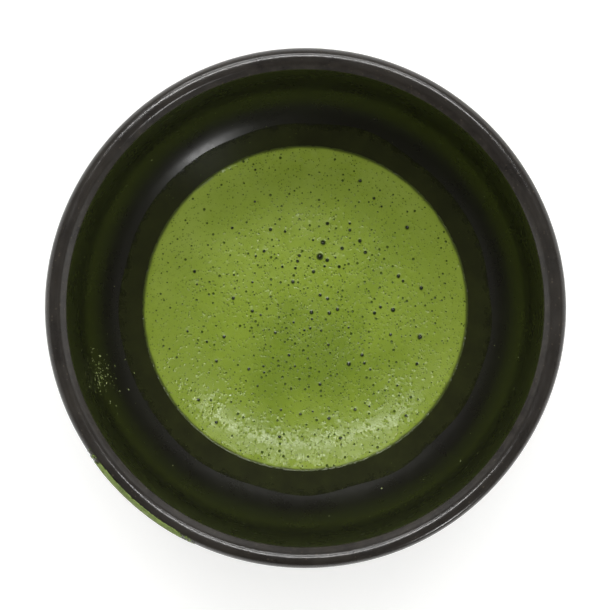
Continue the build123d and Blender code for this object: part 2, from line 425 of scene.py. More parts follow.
@dataclass(frozen=True)
class ThrowingLines:
    """The spiral ridges that fingers or a trimming tool leave on a turned wall."""

    depth: float
    pitch: float
    drift: Wobble
    slip: float = 0.35
    second_ridge: float = 0.35
    second_phase: float = 1.1

    def __call__(self, azimuth: np.ndarray, distance: np.ndarray) -> np.ndarray:
        """The ridges' height at places of a turned surface.

        Args:
            azimuth: Azimuths, in radians.
            distance: Distances along the section.

        Returns:
            The heights.
        """
        drift = self.drift(azimuth, distance)
        turn = distance / self.pitch * math.tau + azimuth + drift / self.drift.depth * self.slip
        second = self.second_ridge * np.cos(2 * turn + self.second_phase)
        return self.depth * (np.cos(turn) + second) + drift


# ---------------------------------------------------------------- meshes


def new_object(name: str, points: Sequence, faces: Sequence) -> bpy.types.Object:
    """A smooth-shaded mesh object, linked to the scene.

    Args:
        name: The piece's name.
        points: Its vertices, in metres.
        faces: Its faces, as vertex numbers.

    Returns:
        The object.
    """
    mesh = bpy.data.meshes.new(name)
    mesh.from_pydata([tuple(p) for p in points], [], faces)
    mesh.validate()
    mesh.shade_smooth()
    item = bpy.data.objects.new(name, mesh)
    bpy.context.scene.collection.objects.link(item)
    return item


def paint(item: bpy.types.Object, name: str, values: np.ndarray) -> None:
    """Store one number for each vertex, for a finish to read.

    Args:
        item: The mesh object.
        name: The attribute's name.
        values: One value for each vertex.
    """
    layer = item.data.attributes.new(name, "FLOAT", "POINT")
    layer.data.foreach_set("value", np.asarray(values, np.float32))


def section_normals(outline: np.ndarray, closed: bool) -> np.ndarray:
    """Unit normals of a section, on the right-hand side of its direction of travel.

    Args:
        outline: The section's points.
        closed: Whether its last point joins its first.

    Returns:
        One normal for each point.
    """
    if closed:
        ahead, behind = np.roll(outline, -1, axis=0), np.roll(outline, 1, axis=0)
    else:
        ahead = np.vstack((outline[1:], outline[-1:]))
        behind = np.vstack((outline[:1], outline[:-1]))
    travel = ahead - behind
    travel /= np.maximum(np.linalg.norm(travel, axis=1, keepdims=True), 1e-12)
    return np.stack((travel[:, 1], -travel[:, 0]), axis=1)


def bridge(first: Sequence[int], second: Sequence[int], flip: bool = False) -> list[Face]:
    """Faces between two closed rings of vertices, either of which may be a single point.

    Args:
        first: The first ring's vertices, in order round it.
        second: The second ring's, beside the first's.
        flip: Whether the faces are turned over.

    Returns:
        The faces, none between two single points.
    """
    faces: list[Face] = []
    count = max(len(first), len(second))
    if count == 1:
        return faces
    for k in range(count):
        n = (k + 1) % count
        a, b = (first[k % len(first)], first[n % len(first)])
        c, d = (second[n % len(second)], second[k % len(second)])
        face = tuple(dict.fromkeys((a, b, c, d)))
        faces.append((face[0], *face[:0:-1]) if flip else face)
    return faces


def stacked(rings: Sequence[Sequence[int]], flip: bool = False) -> list[Face]:
    """Faces between each ring of vertices and the next.

    Args:
        rings: The rings, in order.
        flip: Whether the faces are turned over.

    Returns:
        The faces.
    """
    pairs = zip(rings, rings[1:])
    return [face for first, second in pairs for face in bridge(first, second, flip)]


def rings_of(count: int, sides: int, start: int = 0) -> list[range]:
    """Vertex numbers of rings that follow each other in a mesh."""
    return [range(start + row * sides, start + (row + 1) * sides) for row in range(count)]


def merged(parts: Iterable[tuple[list, list[Face]]]) -> tuple[list, list[Face]]:
    """Several small meshes as one.

    Args:
        parts: The points and faces of each.

    Returns:
        The points and faces of the whole.
    """
    points: list = []
    faces: list[Face] = []
    for own_points, own_faces in parts:
        start = len(points)
        points += own_points
        faces += [tuple(start + k for k in face) for face in own_faces]
    return points, faces


def at_azimuth(flat: Sequence[float], azimuth: float) -> Vector:
    """A place or direction of the section, as (distance, height), turned to an azimuth."""
    distance, height = flat
    return Vector((distance * math.cos(azimuth), distance * math.sin(azimuth), height))


def turned(
    name: str,
    outline: np.ndarray,
    relief: Optional[Relief] = None,
    share: Optional[np.ndarray] = None,
    around: int = 288,
    calm_radius: float = 6 * MM,
) -> bpy.types.Object:
    """A closed mesh of revolution from a closed section, with relief along its normals.

    Args:
        name: The piece's name.
        outline: The closed section, counter-clockwise, which may touch the axis.
        relief: Height of the relief at azimuths and distances along the section.
        share: How much of the relief each point of the section takes, from 0 to 1.
        around: Number of points round the axis.
        calm_radius: Distance from the axis within which the relief dies away.

    Returns:
        The object.
    """
    azimuth = np.linspace(0, math.tau, around, endpoint=False)[None, :]
    steps = np.linalg.norm(np.diff(outline, axis=0, prepend=outline[:1]), axis=1)
    distance = np.cumsum(steps)[:, None]
    radius = np.repeat(outline[:, :1], around, axis=1)
    height = np.repeat(outline[:, 1:], around, axis=1)
    if relief is not None:
        lift = relief(azimuth, distance) * (1.0 if share is None else share[:, None])
        fade = np.clip(radius / calm_radius, 0, 1)
        normals = section_normals(outline, closed=True)
        radius = radius + normals[:, :1] * lift * fade
        height = height + normals[:, 1:] * lift * fade
    on_axis = outline[:, 0] < 1e-6
    cos, sin = np.cos(azimuth[0]), np.sin(azimuth[0])
    points: list[Point] = []
    rings: list[range] = []
    for row, pole in enumerate(on_axis):
        if pole:
            ring = [(0.0, 0.0, outline[row, 1])]
        else:
            ring = list(zip(radius[row] * cos, radius[row] * sin, height[row]))
        rings.append(range(len(points), len(points) + len(ring)))
        points += ring
    return new_object(name, points, stacked(rings + rings[:1]))


def islands(node: str) -> list[tuple[Vector, float]]:
    """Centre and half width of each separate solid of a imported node.

    Args:
        node: The CAD node's name.

    Returns:
        One centre and half width for each solid.
    """
    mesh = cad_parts[node].data
    places = np.array([v.co for v in mesh.vertices], float)
    weld = 0.002 * MM
    keys = [tuple(np.round(p / weld).astype(int)) for p in places]
    group = {key: key for key in keys}

    def root(key: tuple) -> tuple:
        """The key that stands for a group of joined vertices."""
        while group[key] != key:
            group[key] = group[group[key]]
            key = group[key]
        return key

    for a, b in (edge.vertices for edge in mesh.edges):
        group[root(keys[a])] = root(keys[b])
    parts: dict[tuple, list[np.ndarray]] = {}
    for key, place in zip(keys, places):
        parts.setdefault(root(key), []).append(place)
    found = []
    for part in parts.values():
        low, high = np.min(part, axis=0), np.max(part, axis=0)
        found.append((Vector((low + high) / 2), float(max(high[:2] - low[:2])) / 2))
    return sorted(found, key=lambda item: (-item[1], item[0].x))


# ---------------------------------------------------------------- finishes


class Graph:
    """A node tree with short ways to add, set and join its nodes."""

    def __init__(self, tree: bpy.types.NodeTree) -> None:
        """Keep the tree that the calls work on."""
        self.tree = tree

    def add(self, kind: str, inputs: Optional[dict] = None, **settings: object) -> bpy.types.Node:
        """A new node.

        Args:
            kind: Its type, without the ShaderNode prefix.
            inputs: Constants or outputs for its inputs, by name or number.
            **settings: Properties of the node.

        Returns:
            The node.
        """
        node = self.tree.nodes.new("ShaderNode" + kind)
        for key, value in settings.items():
            setattr(node, key, value)
        self.feed(node, inputs or {})
        return node

    def feed(self, node: bpy.types.Node, inputs: dict) -> None:
        """Set or join inputs of a node.

        Args:
            node: The node.
            inputs: Constants, colours or outputs for its inputs, by name or number.
        """
        for key, value in inputs.items():
            if isinstance(value, bpy.types.NodeSocket):
                self.tree.links.new(value, node.inputs[key])
            else:
                constant = value.rgba if isinstance(value, Colour) else value
                node.inputs[key].default_value = constant

    def maths(self, operation: str, *values: object) -> Socket:
        """The result of one Math node, from constants or outputs."""
        inputs = dict(enumerate(values))
        return self.add("Math", inputs, operation=operation).outputs[0]

    def ramp(self, value: Socket, low: float, high: float, start: float, end: float) -> Socket:
        """A value carried smoothly from one range to another.

        Args:
            value: The value to carry.
            low: Where the range starts.
            high: Where it ends.
            start: Result at low.
            end: Result at high.

        Returns:
            The result.
        """
        inputs = {0: value, 1: low, 2: high, 3: start, 4: end}
        return self.add("MapRange", inputs, interpolation_type="SMOOTHSTEP").outputs[0]

    def blend(self, share: Socket, first: object, second: object) -> Socket:
        """Two colours, or outputs that carry one, mixed by a share."""
        inputs = {"Factor": share, 6: first, 7: second}
        return self.add("Mix", inputs, data_type="RGBA").outputs[2]

    def attribute(self, name: str) -> Socket:
        """A number stored on the mesh's vertices."""
        return self.add("Attribute", attribute_name=name).outputs["Fac"]


class Group(Enum):
    """Shader groups that several finishes share."""

    DRIFT = "tone_drift"
    SPECKS = "speck_scatter"
    GRAIN = "grain_height"


def new_group(name: str, inputs: dict[str, float], output: str) -> tuple[Graph, dict, Socket]:
    """An empty shader group with float sockets.

    Args:
        name: The group's name.
        inputs: Names of its inputs, and their usual values.
        output: Name of its output.

    Returns:
        The group's graph, its inputs by name, and the socket that its result feeds.
    """
    tree = bpy.data.node_groups.new(name, "ShaderNodeTree")
    for label, value in inputs.items():
        socket = tree.interface.new_socket(label, in_out="INPUT", socket_type="NodeSocketFloat")
        socket.default_value = value
    tree.interface.new_socket(output, in_out="OUTPUT", socket_type="NodeSocketFloat")
    source = tree.nodes.new("NodeGroupInput")
    sink = tree.nodes.new("NodeGroupOutput")
    return Graph(tree), {s.name: s for s in source.outputs if s.name}, sink.inputs[output]


def build_drift_group() -> bpy.types.NodeTree:
    """Slow change of tone over a surface, from two scales of noise."""
    inputs = {"Scale": 60.0, "Stretch": 1.0, "Seed": 0.0, "Low": 0.0, "High": 1.0}
    graph, given, sink = new_group(Group.DRIFT.value, inputs, "Tone")
    place = graph.add("TexCoord").outputs["Object"]
    stretch = graph.add("CombineXYZ", {0: 1.0, 1: 1.0, 2: given["Stretch"]}).outputs[0]
    spread = graph.add("VectorMath", {0: place, 1: stretch}, operation="MULTIPLY").outputs[0]
    common = {"Vector": spread, "W": given["Seed"], "Detail": 4.0, "Roughness": 0.55}
    broad = graph.add("TexNoise", {**common, "Scale": given["Scale"]}, noise_dimensions="4D")
    finer_scale = graph.maths("MULTIPLY", given["Scale"], 4.3)
    fine = graph.add("TexNoise", {**common, "Scale": finer_scale}, noise_dimensions="4D")
    both = graph.maths("MULTIPLY_ADD", fine.outputs[0], 0.4, broad.outputs[0])
    tone = graph.ramp(both, 0.45, 0.95, 0.0, 1.0)
    low = graph.maths("SUBTRACT", 1.0, tone)
    low = graph.maths("MULTIPLY", low, given["Low"])
    result = graph.maths("MULTIPLY_ADD", tone, given["High"], low)
    graph.tree.links.new(result, sink)
    return graph.tree


def build_specks_group() -> bpy.types.NodeTree:
    """Small soft spots scattered over a surface, each of its own size, as a mask."""
    inputs = {"Scale": 900.0, "Size": 0.25, "Share": 0.5, "Soft": 0.3, "Seed": 0.0}
    graph, given, sink = new_group(Group.SPECKS.value, inputs, "Mask")
    place = graph.add("TexCoord").outputs["Object"]
    shift = graph.add("CombineXYZ", {0: given["Seed"], 1: given["Seed"], 2: 0.0}).outputs[0]
    moved = graph.add("VectorMath", {0: place, 1: shift}, operation="ADD").outputs[0]
    cells = graph.add("TexVoronoi", {"Vector": moved, "Scale": given["Scale"]})
    parts = graph.add("SeparateColor", {0: cells.outputs["Color"]})
    chosen = graph.maths("LESS_THAN", parts.outputs[0], given["Share"])
    own = graph.maths("MULTIPLY_ADD", parts.outputs[1], 0.7, 0.5)
    reach = graph.maths("MULTIPLY", given["Size"], own)
    inner = graph.maths("SUBTRACT", 1.0, given["Soft"])
    inner = graph.maths("MULTIPLY", reach, inner)
    spot = graph.ramp(cells.outputs["Distance"], inner, reach, 1.0, 0.0)
    graph.tree.links.new(graph.maths("MULTIPLY", spot, chosen), sink)
    return graph.tree


def build_grain_group() -> bpy.types.NodeTree:
    """Height of a surface's fine grain: a coarse swell and a fine pitting together."""
    inputs = {"Coarse Scale": 300.0, "Coarse": 1.0, "Fine Scale": 2500.0, "Fine": 0.4}
    graph, given, sink = new_group(Group.GRAIN.value, inputs, "Height")
    place = graph.add("TexCoord").outputs["Object"]
    common = {"Vector": place, "Detail": 3.0, "Roughness": 0.5}
    coarse = graph.add("TexNoise", {**common, "Scale": given["Coarse Scale"]})
    fine = graph.add("TexNoise", {**common, "Scale": given["Fine Scale"]})
    swell = graph.maths("MULTIPLY", coarse.outputs[0], given["Coarse"])
    result = graph.maths("MULTIPLY_ADD", fine.outputs[0], given["Fine"], swell)
    graph.tree.links.new(result, sink)
    return graph.tree


BUILDERS: dict[Group, Callable[[], bpy.types.NodeTree]] = {
    Group.DRIFT: build_drift_group,
    Group.SPECKS: build_specks_group,
    Group.GRAIN: build_grain_group,
}


def place_group(graph: Graph, group: Group, **values: float) -> Socket:
    """A shared group, placed in a finish with its own values.

    Args:
        graph: The finish's graph.
        group: Which group.
        **values: Its inputs, with underscores for spaces.

    Returns:
        The group's output.
    """
    tree = bpy.data.node_groups.get(group.value) or BUILDERS[group]()
    node = graph.tree.nodes.new("ShaderNodeGroup")
    node.node_tree = tree
    for key, value in values.items():
        node.inputs[key.replace("_", " ")].default_value = value
    return node.outputs[0]


@dataclass(frozen=True)
class Finish(ABC):
    """A named surface finish, made once and worn by one or more pieces."""

    slot: Slot
    title: str

    @abstractmethod
    def dress(self, graph: Graph, shader: bpy.types.Node) -> None:
        """Set the shader's sockets and feed them.

        Args:
            graph: The material's graph.
            shader: Its Principled shader.
        """

    def bump(self, graph: Graph, shader: bpy.types.Node, height: Socket, depth: float) -> None:
        """Feed a height through a Bump node to the shader's normal.

        Args:
            graph: The finish's graph.
            shader: The Principled shader.
            height: The height, from 0 to 1.
            depth: What a height of 1 stands for, in metres.
        """
        bump = graph.add("Bump", {"Height": height, "Distance": depth, "Strength": 1.0})
        graph.feed(shader, {"Normal": bump.outputs[0]})

    def material(self) -> bpy.types.Material:
        """The finish's material, built the first time that it is asked for."""
        found = bpy.data.materials.get(self.title)
        if found:
            return found
        made = bpy.data.materials.new(self.title)
        made.use_nodes = True
        made.node_tree.nodes.clear()
        graph = Graph(made.node_tree)
        shader = graph.add("BsdfPrincipled")
        output = graph.add("OutputMaterial")
        graph.tree.links.new(shader.outputs[0], output.inputs[0])
        self.dress(graph, shader)
        return made

    def wear(self, item: bpy.types.Object) -> None:
        """Give the finish to a piece."""
        item.data.materials.clear()
        item.data.materials.append(self.material())


@dataclass(frozen=True)
class InsideGlaze(Finish):
    """Glassy green-black glaze of the inside, with a faint orange-peel surface."""

    slot: Slot = Slot.INNER_GLAZE
    title: str = "green_black_glaze"
    gloss_low: float = 0.25
    gloss_high: float = 0.33

    def dress(self, graph: Graph, shader: bpy.types.Node) -> None:
        """Set the shader's sockets and feed them.

        Args:
            graph: The material's graph.
            shader: Its Principled shader.
        """
        tone = place_group(graph, Group.DRIFT, Scale=45.0, Stretch=0.6, Seed=2.0)
        spots = place_group(graph, Group.SPECKS, Scale=420.0, Size=0.16, Share=0.22, Soft=0.5)
        base = graph.blend(tone, Colour.INSIDE_DARK, Colour.INSIDE_GREEN)
        faint = graph.maths("MULTIPLY", spots, 0.35)
        colour = graph.blend(faint, base, Colour.LIP_BODY)
        gloss = place_group(
            graph,
            Group.DRIFT,
            Scale=110.0,
            Seed=5.0,
            Low=self.gloss_low,
            High=self.gloss_high,
        )
        grain = place_group(graph, Group.GRAIN, Coarse_Scale=260.0, Fine_Scale=1500.0, Fine=0.12)
        graph.feed(shader, {"Base Color": colour, "Roughness": gloss, "IOR": 1.5})
        self.bump(graph, shader, grain, depth=0.020 * MM)


@dataclass(frozen=True)
class OutsideGlaze(Finish):
    """Satin brown-black glaze, paler and browner where it runs thin over an edge."""

    slot: Slot = Slot.OUTER_GLAZE
    title: str = "brown_black_glaze"

    def dress(self, graph: Graph, shader: bpy.types.Node) -> None:
        """Set the shader's sockets and feed them.

        Args:
            graph: The material's graph.
            shader: Its Principled shader.
        """
        tone = place_group(graph, Group.DRIFT, Scale=70.0, Stretch=0.5, Seed=7.0)
        patch = place_group(graph, Group.DRIFT, Scale=260.0, Seed=9.0)
        thin = graph.maths("MULTIPLY", graph.attribute("thin"), patch)
        worn = graph.maths("MAXIMUM", thin, graph.maths("MULTIPLY", tone, 0.35))
        base = graph.blend(worn, Colour.LIP_BODY, Colour.LIP_THIN)
        spots = place_group(graph, Group.SPECKS, Scale=1150.0, Size=0.30, Share=0.28, Soft=0.6)
        colour = graph.blend(graph.maths("MULTIPLY", spots, 0.35), base, Colour.LIP_SPECK)
        gloss = place_group(graph, Group.DRIFT, Scale=180.0, Seed=3.0, Low=0.15, High=0.26)
        grain = place_group(graph, Group.GRAIN, Coarse_Scale=420.0, Fine_Scale=2600.0, Fine=0.35)
        graph.feed(shader, {"Base Color": colour, "Roughness": gloss, "IOR": 1.5})
        self.bump(graph, shader, grain, depth=0.045 * MM)


@dataclass(frozen=True)
class BareClay(Finish):
    """Unglazed dark stoneware with grit in it, its tone drifting at random."""

    slot: Slot = Slot.BARE_CLAY
    title: str = "bare_stoneware"

    def dress(self, graph: Graph, shader: bpy.types.Node) -> None:
        """Set the shader's sockets and feed them.

        Args:
            graph: The material's graph.
            shader: Its Principled shader.
        """
        tone = place_group(graph, Group.DRIFT, Scale=120.0, Seed=4.0)
        base = graph.blend(tone, Colour.CLAY, Colour.CLAY_PALE)
        grit = place_group(graph, Group.SPECKS, Scale=900.0, Size=0.34, Share=0.30, Soft=0.4)
        colour = graph.blend(graph.maths("MULTIPLY", grit, 0.8), base, Colour.CLAY_GRIT)
        rough = place_group(graph, Group.DRIFT, Scale=300.0, Seed=6.0, Low=0.72, High=0.92)
        grain = place_group(graph, Group.GRAIN, Coarse_Scale=700.0, Fine_Scale=3600.0, Fine=0.7)
        height = graph.maths("MULTIPLY_ADD", grit, -0.5, grain)
        graph.feed(shader, {"Base Color": colour, "Roughness": rough})
        self.bump(graph, shader, height, depth=0.14 * MM)


@dataclass(frozen=True)
class Froth(Finish):
    """Whisked froth: fine closed foam, paler where it is thick and where sheen is painted, dark in
    its open hollows, with painted shade along the wall.
    """

    slot: Slot = Slot.TEA_FROTH
    title: str = "whisked_froth"

    def dress(self, graph: Graph, shader: bpy.types.Node) -> None:
        """Set the shader's sockets and feed them.

        Args:
            graph: The material's graph.
            shader: Its Principled shader.
        """
        tone = place_group(graph, Group.DRIFT, Scale=38.0, Seed=1.0, Low=-0.22, High=0.22)
        # The thick tone is partly thickness and partly painted sheen: pale near the edge and in
        # one patch.
        depth = graph.maths("ADD", graph.attribute("thick"), tone)
        deep = graph.ramp(depth, 0.0, 0.5, 0.0, 1.0)
        pale = graph.ramp(depth, 0.5, 1.0, 0.0, 1.0)
        base = graph.blend(deep, Colour.FROTH_DEEP, Colour.FROTH_MID)
        base = graph.blend(pale, base, Colour.FROTH_PALE)
        dots = place_group(graph, Group.SPECKS, Scale=1250.0, Size=0.34, Share=0.75, Soft=0.5)
        foam = place_group(graph, Group.SPECKS, Scale=2600.0, Size=0.48, Share=0.75, Soft=0.8)
        dark = graph.maths("MULTIPLY_ADD", foam, 0.20, graph.maths("MULTIPLY", dots, 0.55))
        base = graph.blend(dark, base, Colour.FROTH_HOLLOW)
        # Painted shade: the froth darkens to FROTH_RIM in a ragged band along the wall.
        rim = graph.ramp(graph.attribute("rim"), 0.0, 0.7, 0.0, 1.0)
        base = graph.blend(rim, base, Colour.FROTH_RIM)
        colour = graph.blend(graph.attribute("hollow"), base, Colour.FROTH_HOLLOW)
        rough = place_group(graph, Group.DRIFT, Scale=220.0, Seed=8.0, Low=0.17, High=0.24)
        height = graph.maths("MULTIPLY_ADD", dots, -0.7, graph.maths("MULTIPLY", foam, 0.5))
        graph.feed(shader, {"Base Color": colour, "Roughness": rough, "IOR": 1.33})
        self.bump(graph, shader, height, depth=0.045 * MM)


@dataclass(frozen=True)
class BubbleSkin(Finish):
    """A standing bubble's wet skin, dark where it is looked through and glossy all over."""

    slot: Slot = Slot.TEA_FROTH
    title: str = "bubble_skin"

    def dress(self, graph: Graph, shader: bpy.types.Node) -> None:
        """Set the shader's sockets and feed them.

        Args:
            graph: The material's graph.
            shader: Its Principled shader.
        """
        tone = place_group(graph, Group.DRIFT, Scale=500.0, Seed=12.0, Low=0.0, High=0.25)
        foot = graph.maths("MAXIMUM", graph.attribute("foot"), tone)
        base = graph.blend(foot, Colour.BUBBLE_DARK, Colour.BUBBLE_GREEN)
        skirt = graph.ramp(graph.attribute("foot"), 0.75, 1.0, 0.0, 1.0)
        colour = graph.blend(skirt, base, Colour.FROTH_DEEP)
        inputs = {
            "Base Color": colour,
            "Roughness": 0.07,
            "IOR": 1.34,
            "Coat Weight": 0.6,
            "Coat Roughness": 0.04,
        }
        graph.feed(shader, inputs)


@dataclass(frozen=True)
class WetFilm(Finish):
    """Thin wet tea on dark glaze, fading out at its upper edge."""

    slot: Slot = Slot.WET_FILM
    title: str = "thin_wet_tea"

    def dress(self, graph: Graph, shader: bpy.types.Node) -> None:
        """Set the shader's sockets and feed them.

        Args:
            graph: The material's graph.
            shader: Its Principled shader.
        """
        tone = place_group(graph, Group.DRIFT, Scale=160.0, Stretch=0.35, Seed=14.0)
        base = graph.blend(tone, Colour.FILM_THIN, Colour.FILM)
        motes = place_group(graph, Group.SPECKS, Scale=1300.0, Size=0.20, Share=0.06, Soft=0.4)
        colour = graph.blend(graph.maths("MULTIPLY", motes, 0.6), base, Colour.DRY_TEA_DARK)
        cover = graph.attribute("cover")
        ragged = place_group(graph, Group.DRIFT, Scale=420.0, Seed=15.0, Low=-0.25, High=0.25)
        edge = graph.ramp(graph.maths("ADD", cover, ragged), 0.15, 0.75, 0.0, 1.0)
        inputs = {
            "Base Color": colour,
            "Alpha": edge,
            "Roughness": 0.32,
            "Specular IOR Level": 0.04,
        }
        graph.feed(shader, inputs)


@dataclass(frozen=True)
class DriedTea(Finish):
    """Tea that has dried to a thin powdery crust, patchy where it is thin."""

    slot: Slot = Slot.TEA_SMEAR
    title: str = "dried_tea"
    dark: Colour = Colour.DRY_TEA_DARK
    light: Colour = Colour.DRY_TEA

    def dress(self, graph: Graph, shader: bpy.types.Node) -> None:
        """Set the shader's sockets and feed them.

        Args:
            graph: The material's graph.
            shader: Its Principled shader.
        """
        tone = place_group(graph, Group.DRIFT, Scale=350.0, Seed=17.0)
        base = graph.blend(tone, self.dark, self.light)
        grains = place_group(graph, Group.SPECKS, Scale=2400.0, Size=0.4, Share=0.5, Soft=0.6)
        colour = graph.blend(graph.maths("MULTIPLY", grains, 0.5), base, Colour.FROTH_PALE)
        patchy = place_group(graph, Group.DRIFT, Scale=700.0, Seed=18.0, Low=-0.45, High=0.45)
        cover = graph.maths("ADD", graph.attribute("cover"), patchy)
        rough = place_group(graph, Group.DRIFT, Scale=500.0, Seed=19.0, Low=0.45, High=0.75)
        inputs = {
            "Base Color": colour,
            "Alpha": graph.ramp(cover, 0.2, 0.8, 0.0, 1.0),
            "Roughness": rough,
        }
        graph.feed(shader, inputs)
        self.bump(graph, shader, grains, depth=0.04 * MM)


@dataclass(frozen=True)
class ClearTea(Finish):
    """Cloudy liquid tea under the froth."""

    slot: Slot = Slot.LIQUID_TEA
    title: str = "cloudy_tea"

    def dress(self, graph: Graph, shader: bpy.types.Node) -> None:
        """Set the shader's sockets and feed them.

        Args:
            graph: The material's graph.
            shader: Its Principled shader.
        """
        cloud = place_group(graph, Group.DRIFT, Scale=90.0, Seed=21.0)
        colour = graph.blend(cloud, Colour.FROTH_RIM, Colour.FROTH_DEEP)
        graph.feed(shader, {"Base Color": colour, "Roughness": 0.08, "IOR": 1.34})


# ---------------------------------------------------------------- sub-assemblies


class SubAssembly(ABC):
    """A group of pieces that are built and dressed together."""

    @abstractmethod
    def build(self) -> list[bpy.types.Object]:
        """Build and dress the pieces, and return them."""

    def seat(self, item: bpy.types.Object, finish: Finish, *nodes: str) -> bpy.types.Object:
        """Dress a new piece, and put it on the bowl in the place of CAD nodes.

        Args:
            item: The piece.
            finish: What it wears.
            *nodes: The CAD nodes that it stands for.

        Returns:
            The piece.
        """
        finish.wear(item)
        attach(item, BODY)
        if nodes:
            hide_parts(*nodes)
        return item


@dataclass
class GlazedBowl(SubAssembly):
    """The fired bowl: clay, foot ring and the two coats of glaze."""

    section: BowlSection
    glaze_line: float = 4.5 * MM
    glaze_bead: float = 0.22 * MM
    bead_reach: float = 1.6 * MM
    foot_width: float = 5.5 * MM
    foot_taper: float = 0.8 * MM
    foot_round: float = 1.0 * MM
    cone_radius: float = 7.0 * MM
    cone_height: float = 0.9 * MM

    def inner_coat(self) -> bpy.types.Object:
        """The inside's glaze, with faint throwing lines under it."""
        top = self.section.inside()
        under = self.section.inside(self.section.glaze)
        outline = np.vstack((under, top[::-1]))
        share = np.concatenate((np.zeros(len(under)), np.ones(len(top))))
        share[len(under)] = 0.0
        lines = ThrowingLines(0.005 * MM, 5.2 * MM, Wobble(31, 0.012 * MM, (2, 7), 30 * MM))
        return turned("inner_glaze_coat", outline, lines, share)

    def hip_point(self, above_foot: float, lift: float) -> np.ndarray:
        """A point of the outside hip, at a height above the foot and a lift off the clay."""
        tilt = self.section.outer_hip_tilt
        foot = np.array((self.section.foot_radius, self.section.foot_height))
        level = np.array((0.0, self.section.foot_height + above_foot))
        return meet(foot, tilt, level, 0.0) + lift * outward(tilt)

    def outer_coat(self) -> bpy.types.Object:
        """The lip's and the outside's glaze, ending in a wavy rolled bead above the foot."""
        section = self.section
        tilt = section.outer_hip_tilt
        clay_end = self.hip_point(self.glaze_line, 0.0)
        glaze_end = self.hip_point(self.glaze_line, section.glaze)
        swollen = section.glaze + self.glaze_bead
        bead_top = self.hip_point(self.glaze_line, swollen) + self.bead_reach * along(tilt)
        bead_low = self.hip_point(self.glaze_line, 0.55 * swollen) - 0.25 * MM * along(tilt)
        lead = glaze_end + 2.2 * self.bead_reach * along(tilt)
        top = joined(section.lip(), section.outside(0.0, lead))
        bead_side = bead_top * 0.45 + bead_low * 0.55 + 0.1 * MM * outward(tilt)
        bead = np.array((bead_top, bead_side, bead_low))
        under = joined(section.lip(section.glaze), section.outside(section.glaze, clay_end))
        outline = np.vstack((top, bead, under[::-1]))[::-1]
        lines = ThrowingLines(0.05 * MM, 6.5 * MM, Wobble(37, 0.07 * MM, (2, 6), 34 * MM))
        share = np.zeros(len(outline))
        share[len(under) + 1 : -1] = 1.0
        fading = 12
        share[-fading:] = np.linspace(1.0, 0.0, fading)
        coat = turned("outer_glaze_coat", outline, lines, share)
        places = np.array([v.co for v in coat.data.vertices], float)
        radius = np.hypot(places[:, 0], places[:, 1])
        azimuth = np.arctan2(places[:, 1], places[:, 0])
        self.wave_line(coat, places, radius, azimuth)
        paint(coat, "thin", self.thin_glaze(places, radius, glaze_end[0]))
        return coat

    def thin_glaze(self, places: np.ndarray, radius: np.ndarray, end: float) -> np.ndarray:
        """Where the outside glaze has run thin: off the lip's edges and above the foot.

        Args:
            places: The coat's vertices.
            radius: Their distances from the axis, before the lower end was waved.
            end: Distance from the axis to the coat's lower end.

        Returns:
            A share for each vertex, from 0 to 1.
        """
        section = self.section
        high = places[:, 2] > section.height - 2.6 * MM
        lip = np.clip(np.abs(radius - section.crest_radius) / (1.6 * MM) - 0.15, 0, 1) * high
        sharp = np.clip(1 - np.abs(radius - section.lip_radius) / (0.6 * MM), 0, 1) * high
        low = np.clip(1 - (radius - end) / (5 * MM), 0, 1) * (places[:, 2] < 20 * MM)
        return np.maximum(np.maximum(0.55 * lip, 0.9 * sharp), 0.7 * low)

    def wave_line(
        self,
        coat: bpy.types.Object,
        places: np.ndarray,
        radius: np.ndarray,
        azimuth: np.ndarray,
    ) -> None:
        """Slide the coat's lower end up and down the hip, as a dipped glaze ends.

        Args:
            coat: The outside coat.
            places: Its vertices.
            radius: Their distances from the axis.
            azimuth: Their azimuths, in radians.
        """
        end = self.hip_point(self.glaze_line, 0.0)
        reach = 9 * MM
        share = np.clip(1 - (radius - end[0]) / reach, 0, 1) * (places[:, 2] < end[1] + reach)
        wave = Wobble(41, 0.55 * MM, (2, 9), 1.0, 9)(azimuth, np.zeros_like(azimuth))
        slide = np.abs(wave) * share**2
        direction = along(self.section.outer_hip_tilt)
        moved = radius + slide * direction[0]
        places[:, 0] = moved * np.cos(azimuth)
        places[:, 1] = moved * np.sin(azimuth)
        places[:, 2] += slide * direction[1]
        coat.data.vertices.foreach_set("co", places.astype(np.float32).ravel())
        coat.data.update()

    def clay(self) -> bpy.types.Object:
        """The turned clay, with the trimming tool's ridges where it is bare."""
        section = self.section
        foot = np.array((section.foot_radius, section.foot_height))
        inside = section.inside(section.glaze)
        lip = section.lip(section.glaze)
        outside = section.outside(section.glaze, foot)
        cone_edge = np.array((self.cone_radius, section.foot_height))
        cone_tip = np.array((0.0, section.foot_height - self.cone_height))
        under = run([foot, cone_edge, cone_tip], 0.4 * MM)
        outline = joined(inside, lip, outside, under)[::-1]
        bare = (outline[:, 1] < section.foot_height + self.glaze_line) & (
            outline[:, 0] < section.foot_radius + 9 * MM
        )
        share = bare.astype(float)
        ring = (outline[:, 0] > section.foot_radius - self.foot_width - 0.3 * MM) & (
            np.abs(outline[:, 0] - foot[0]) < self.foot_width + 0.6 * MM
        )
        seated = ring & (np.abs(outline[:, 1] - section.foot_height) < 0.3 * MM)
        share[seated] = 0.0
        lines = ThrowingLines(0.045 * MM, 1.9 * MM, Wobble(43, 0.03 * MM, (2, 9), 9 * MM))
        return turned("turned_clay_body", outline, lines, share, around=224)

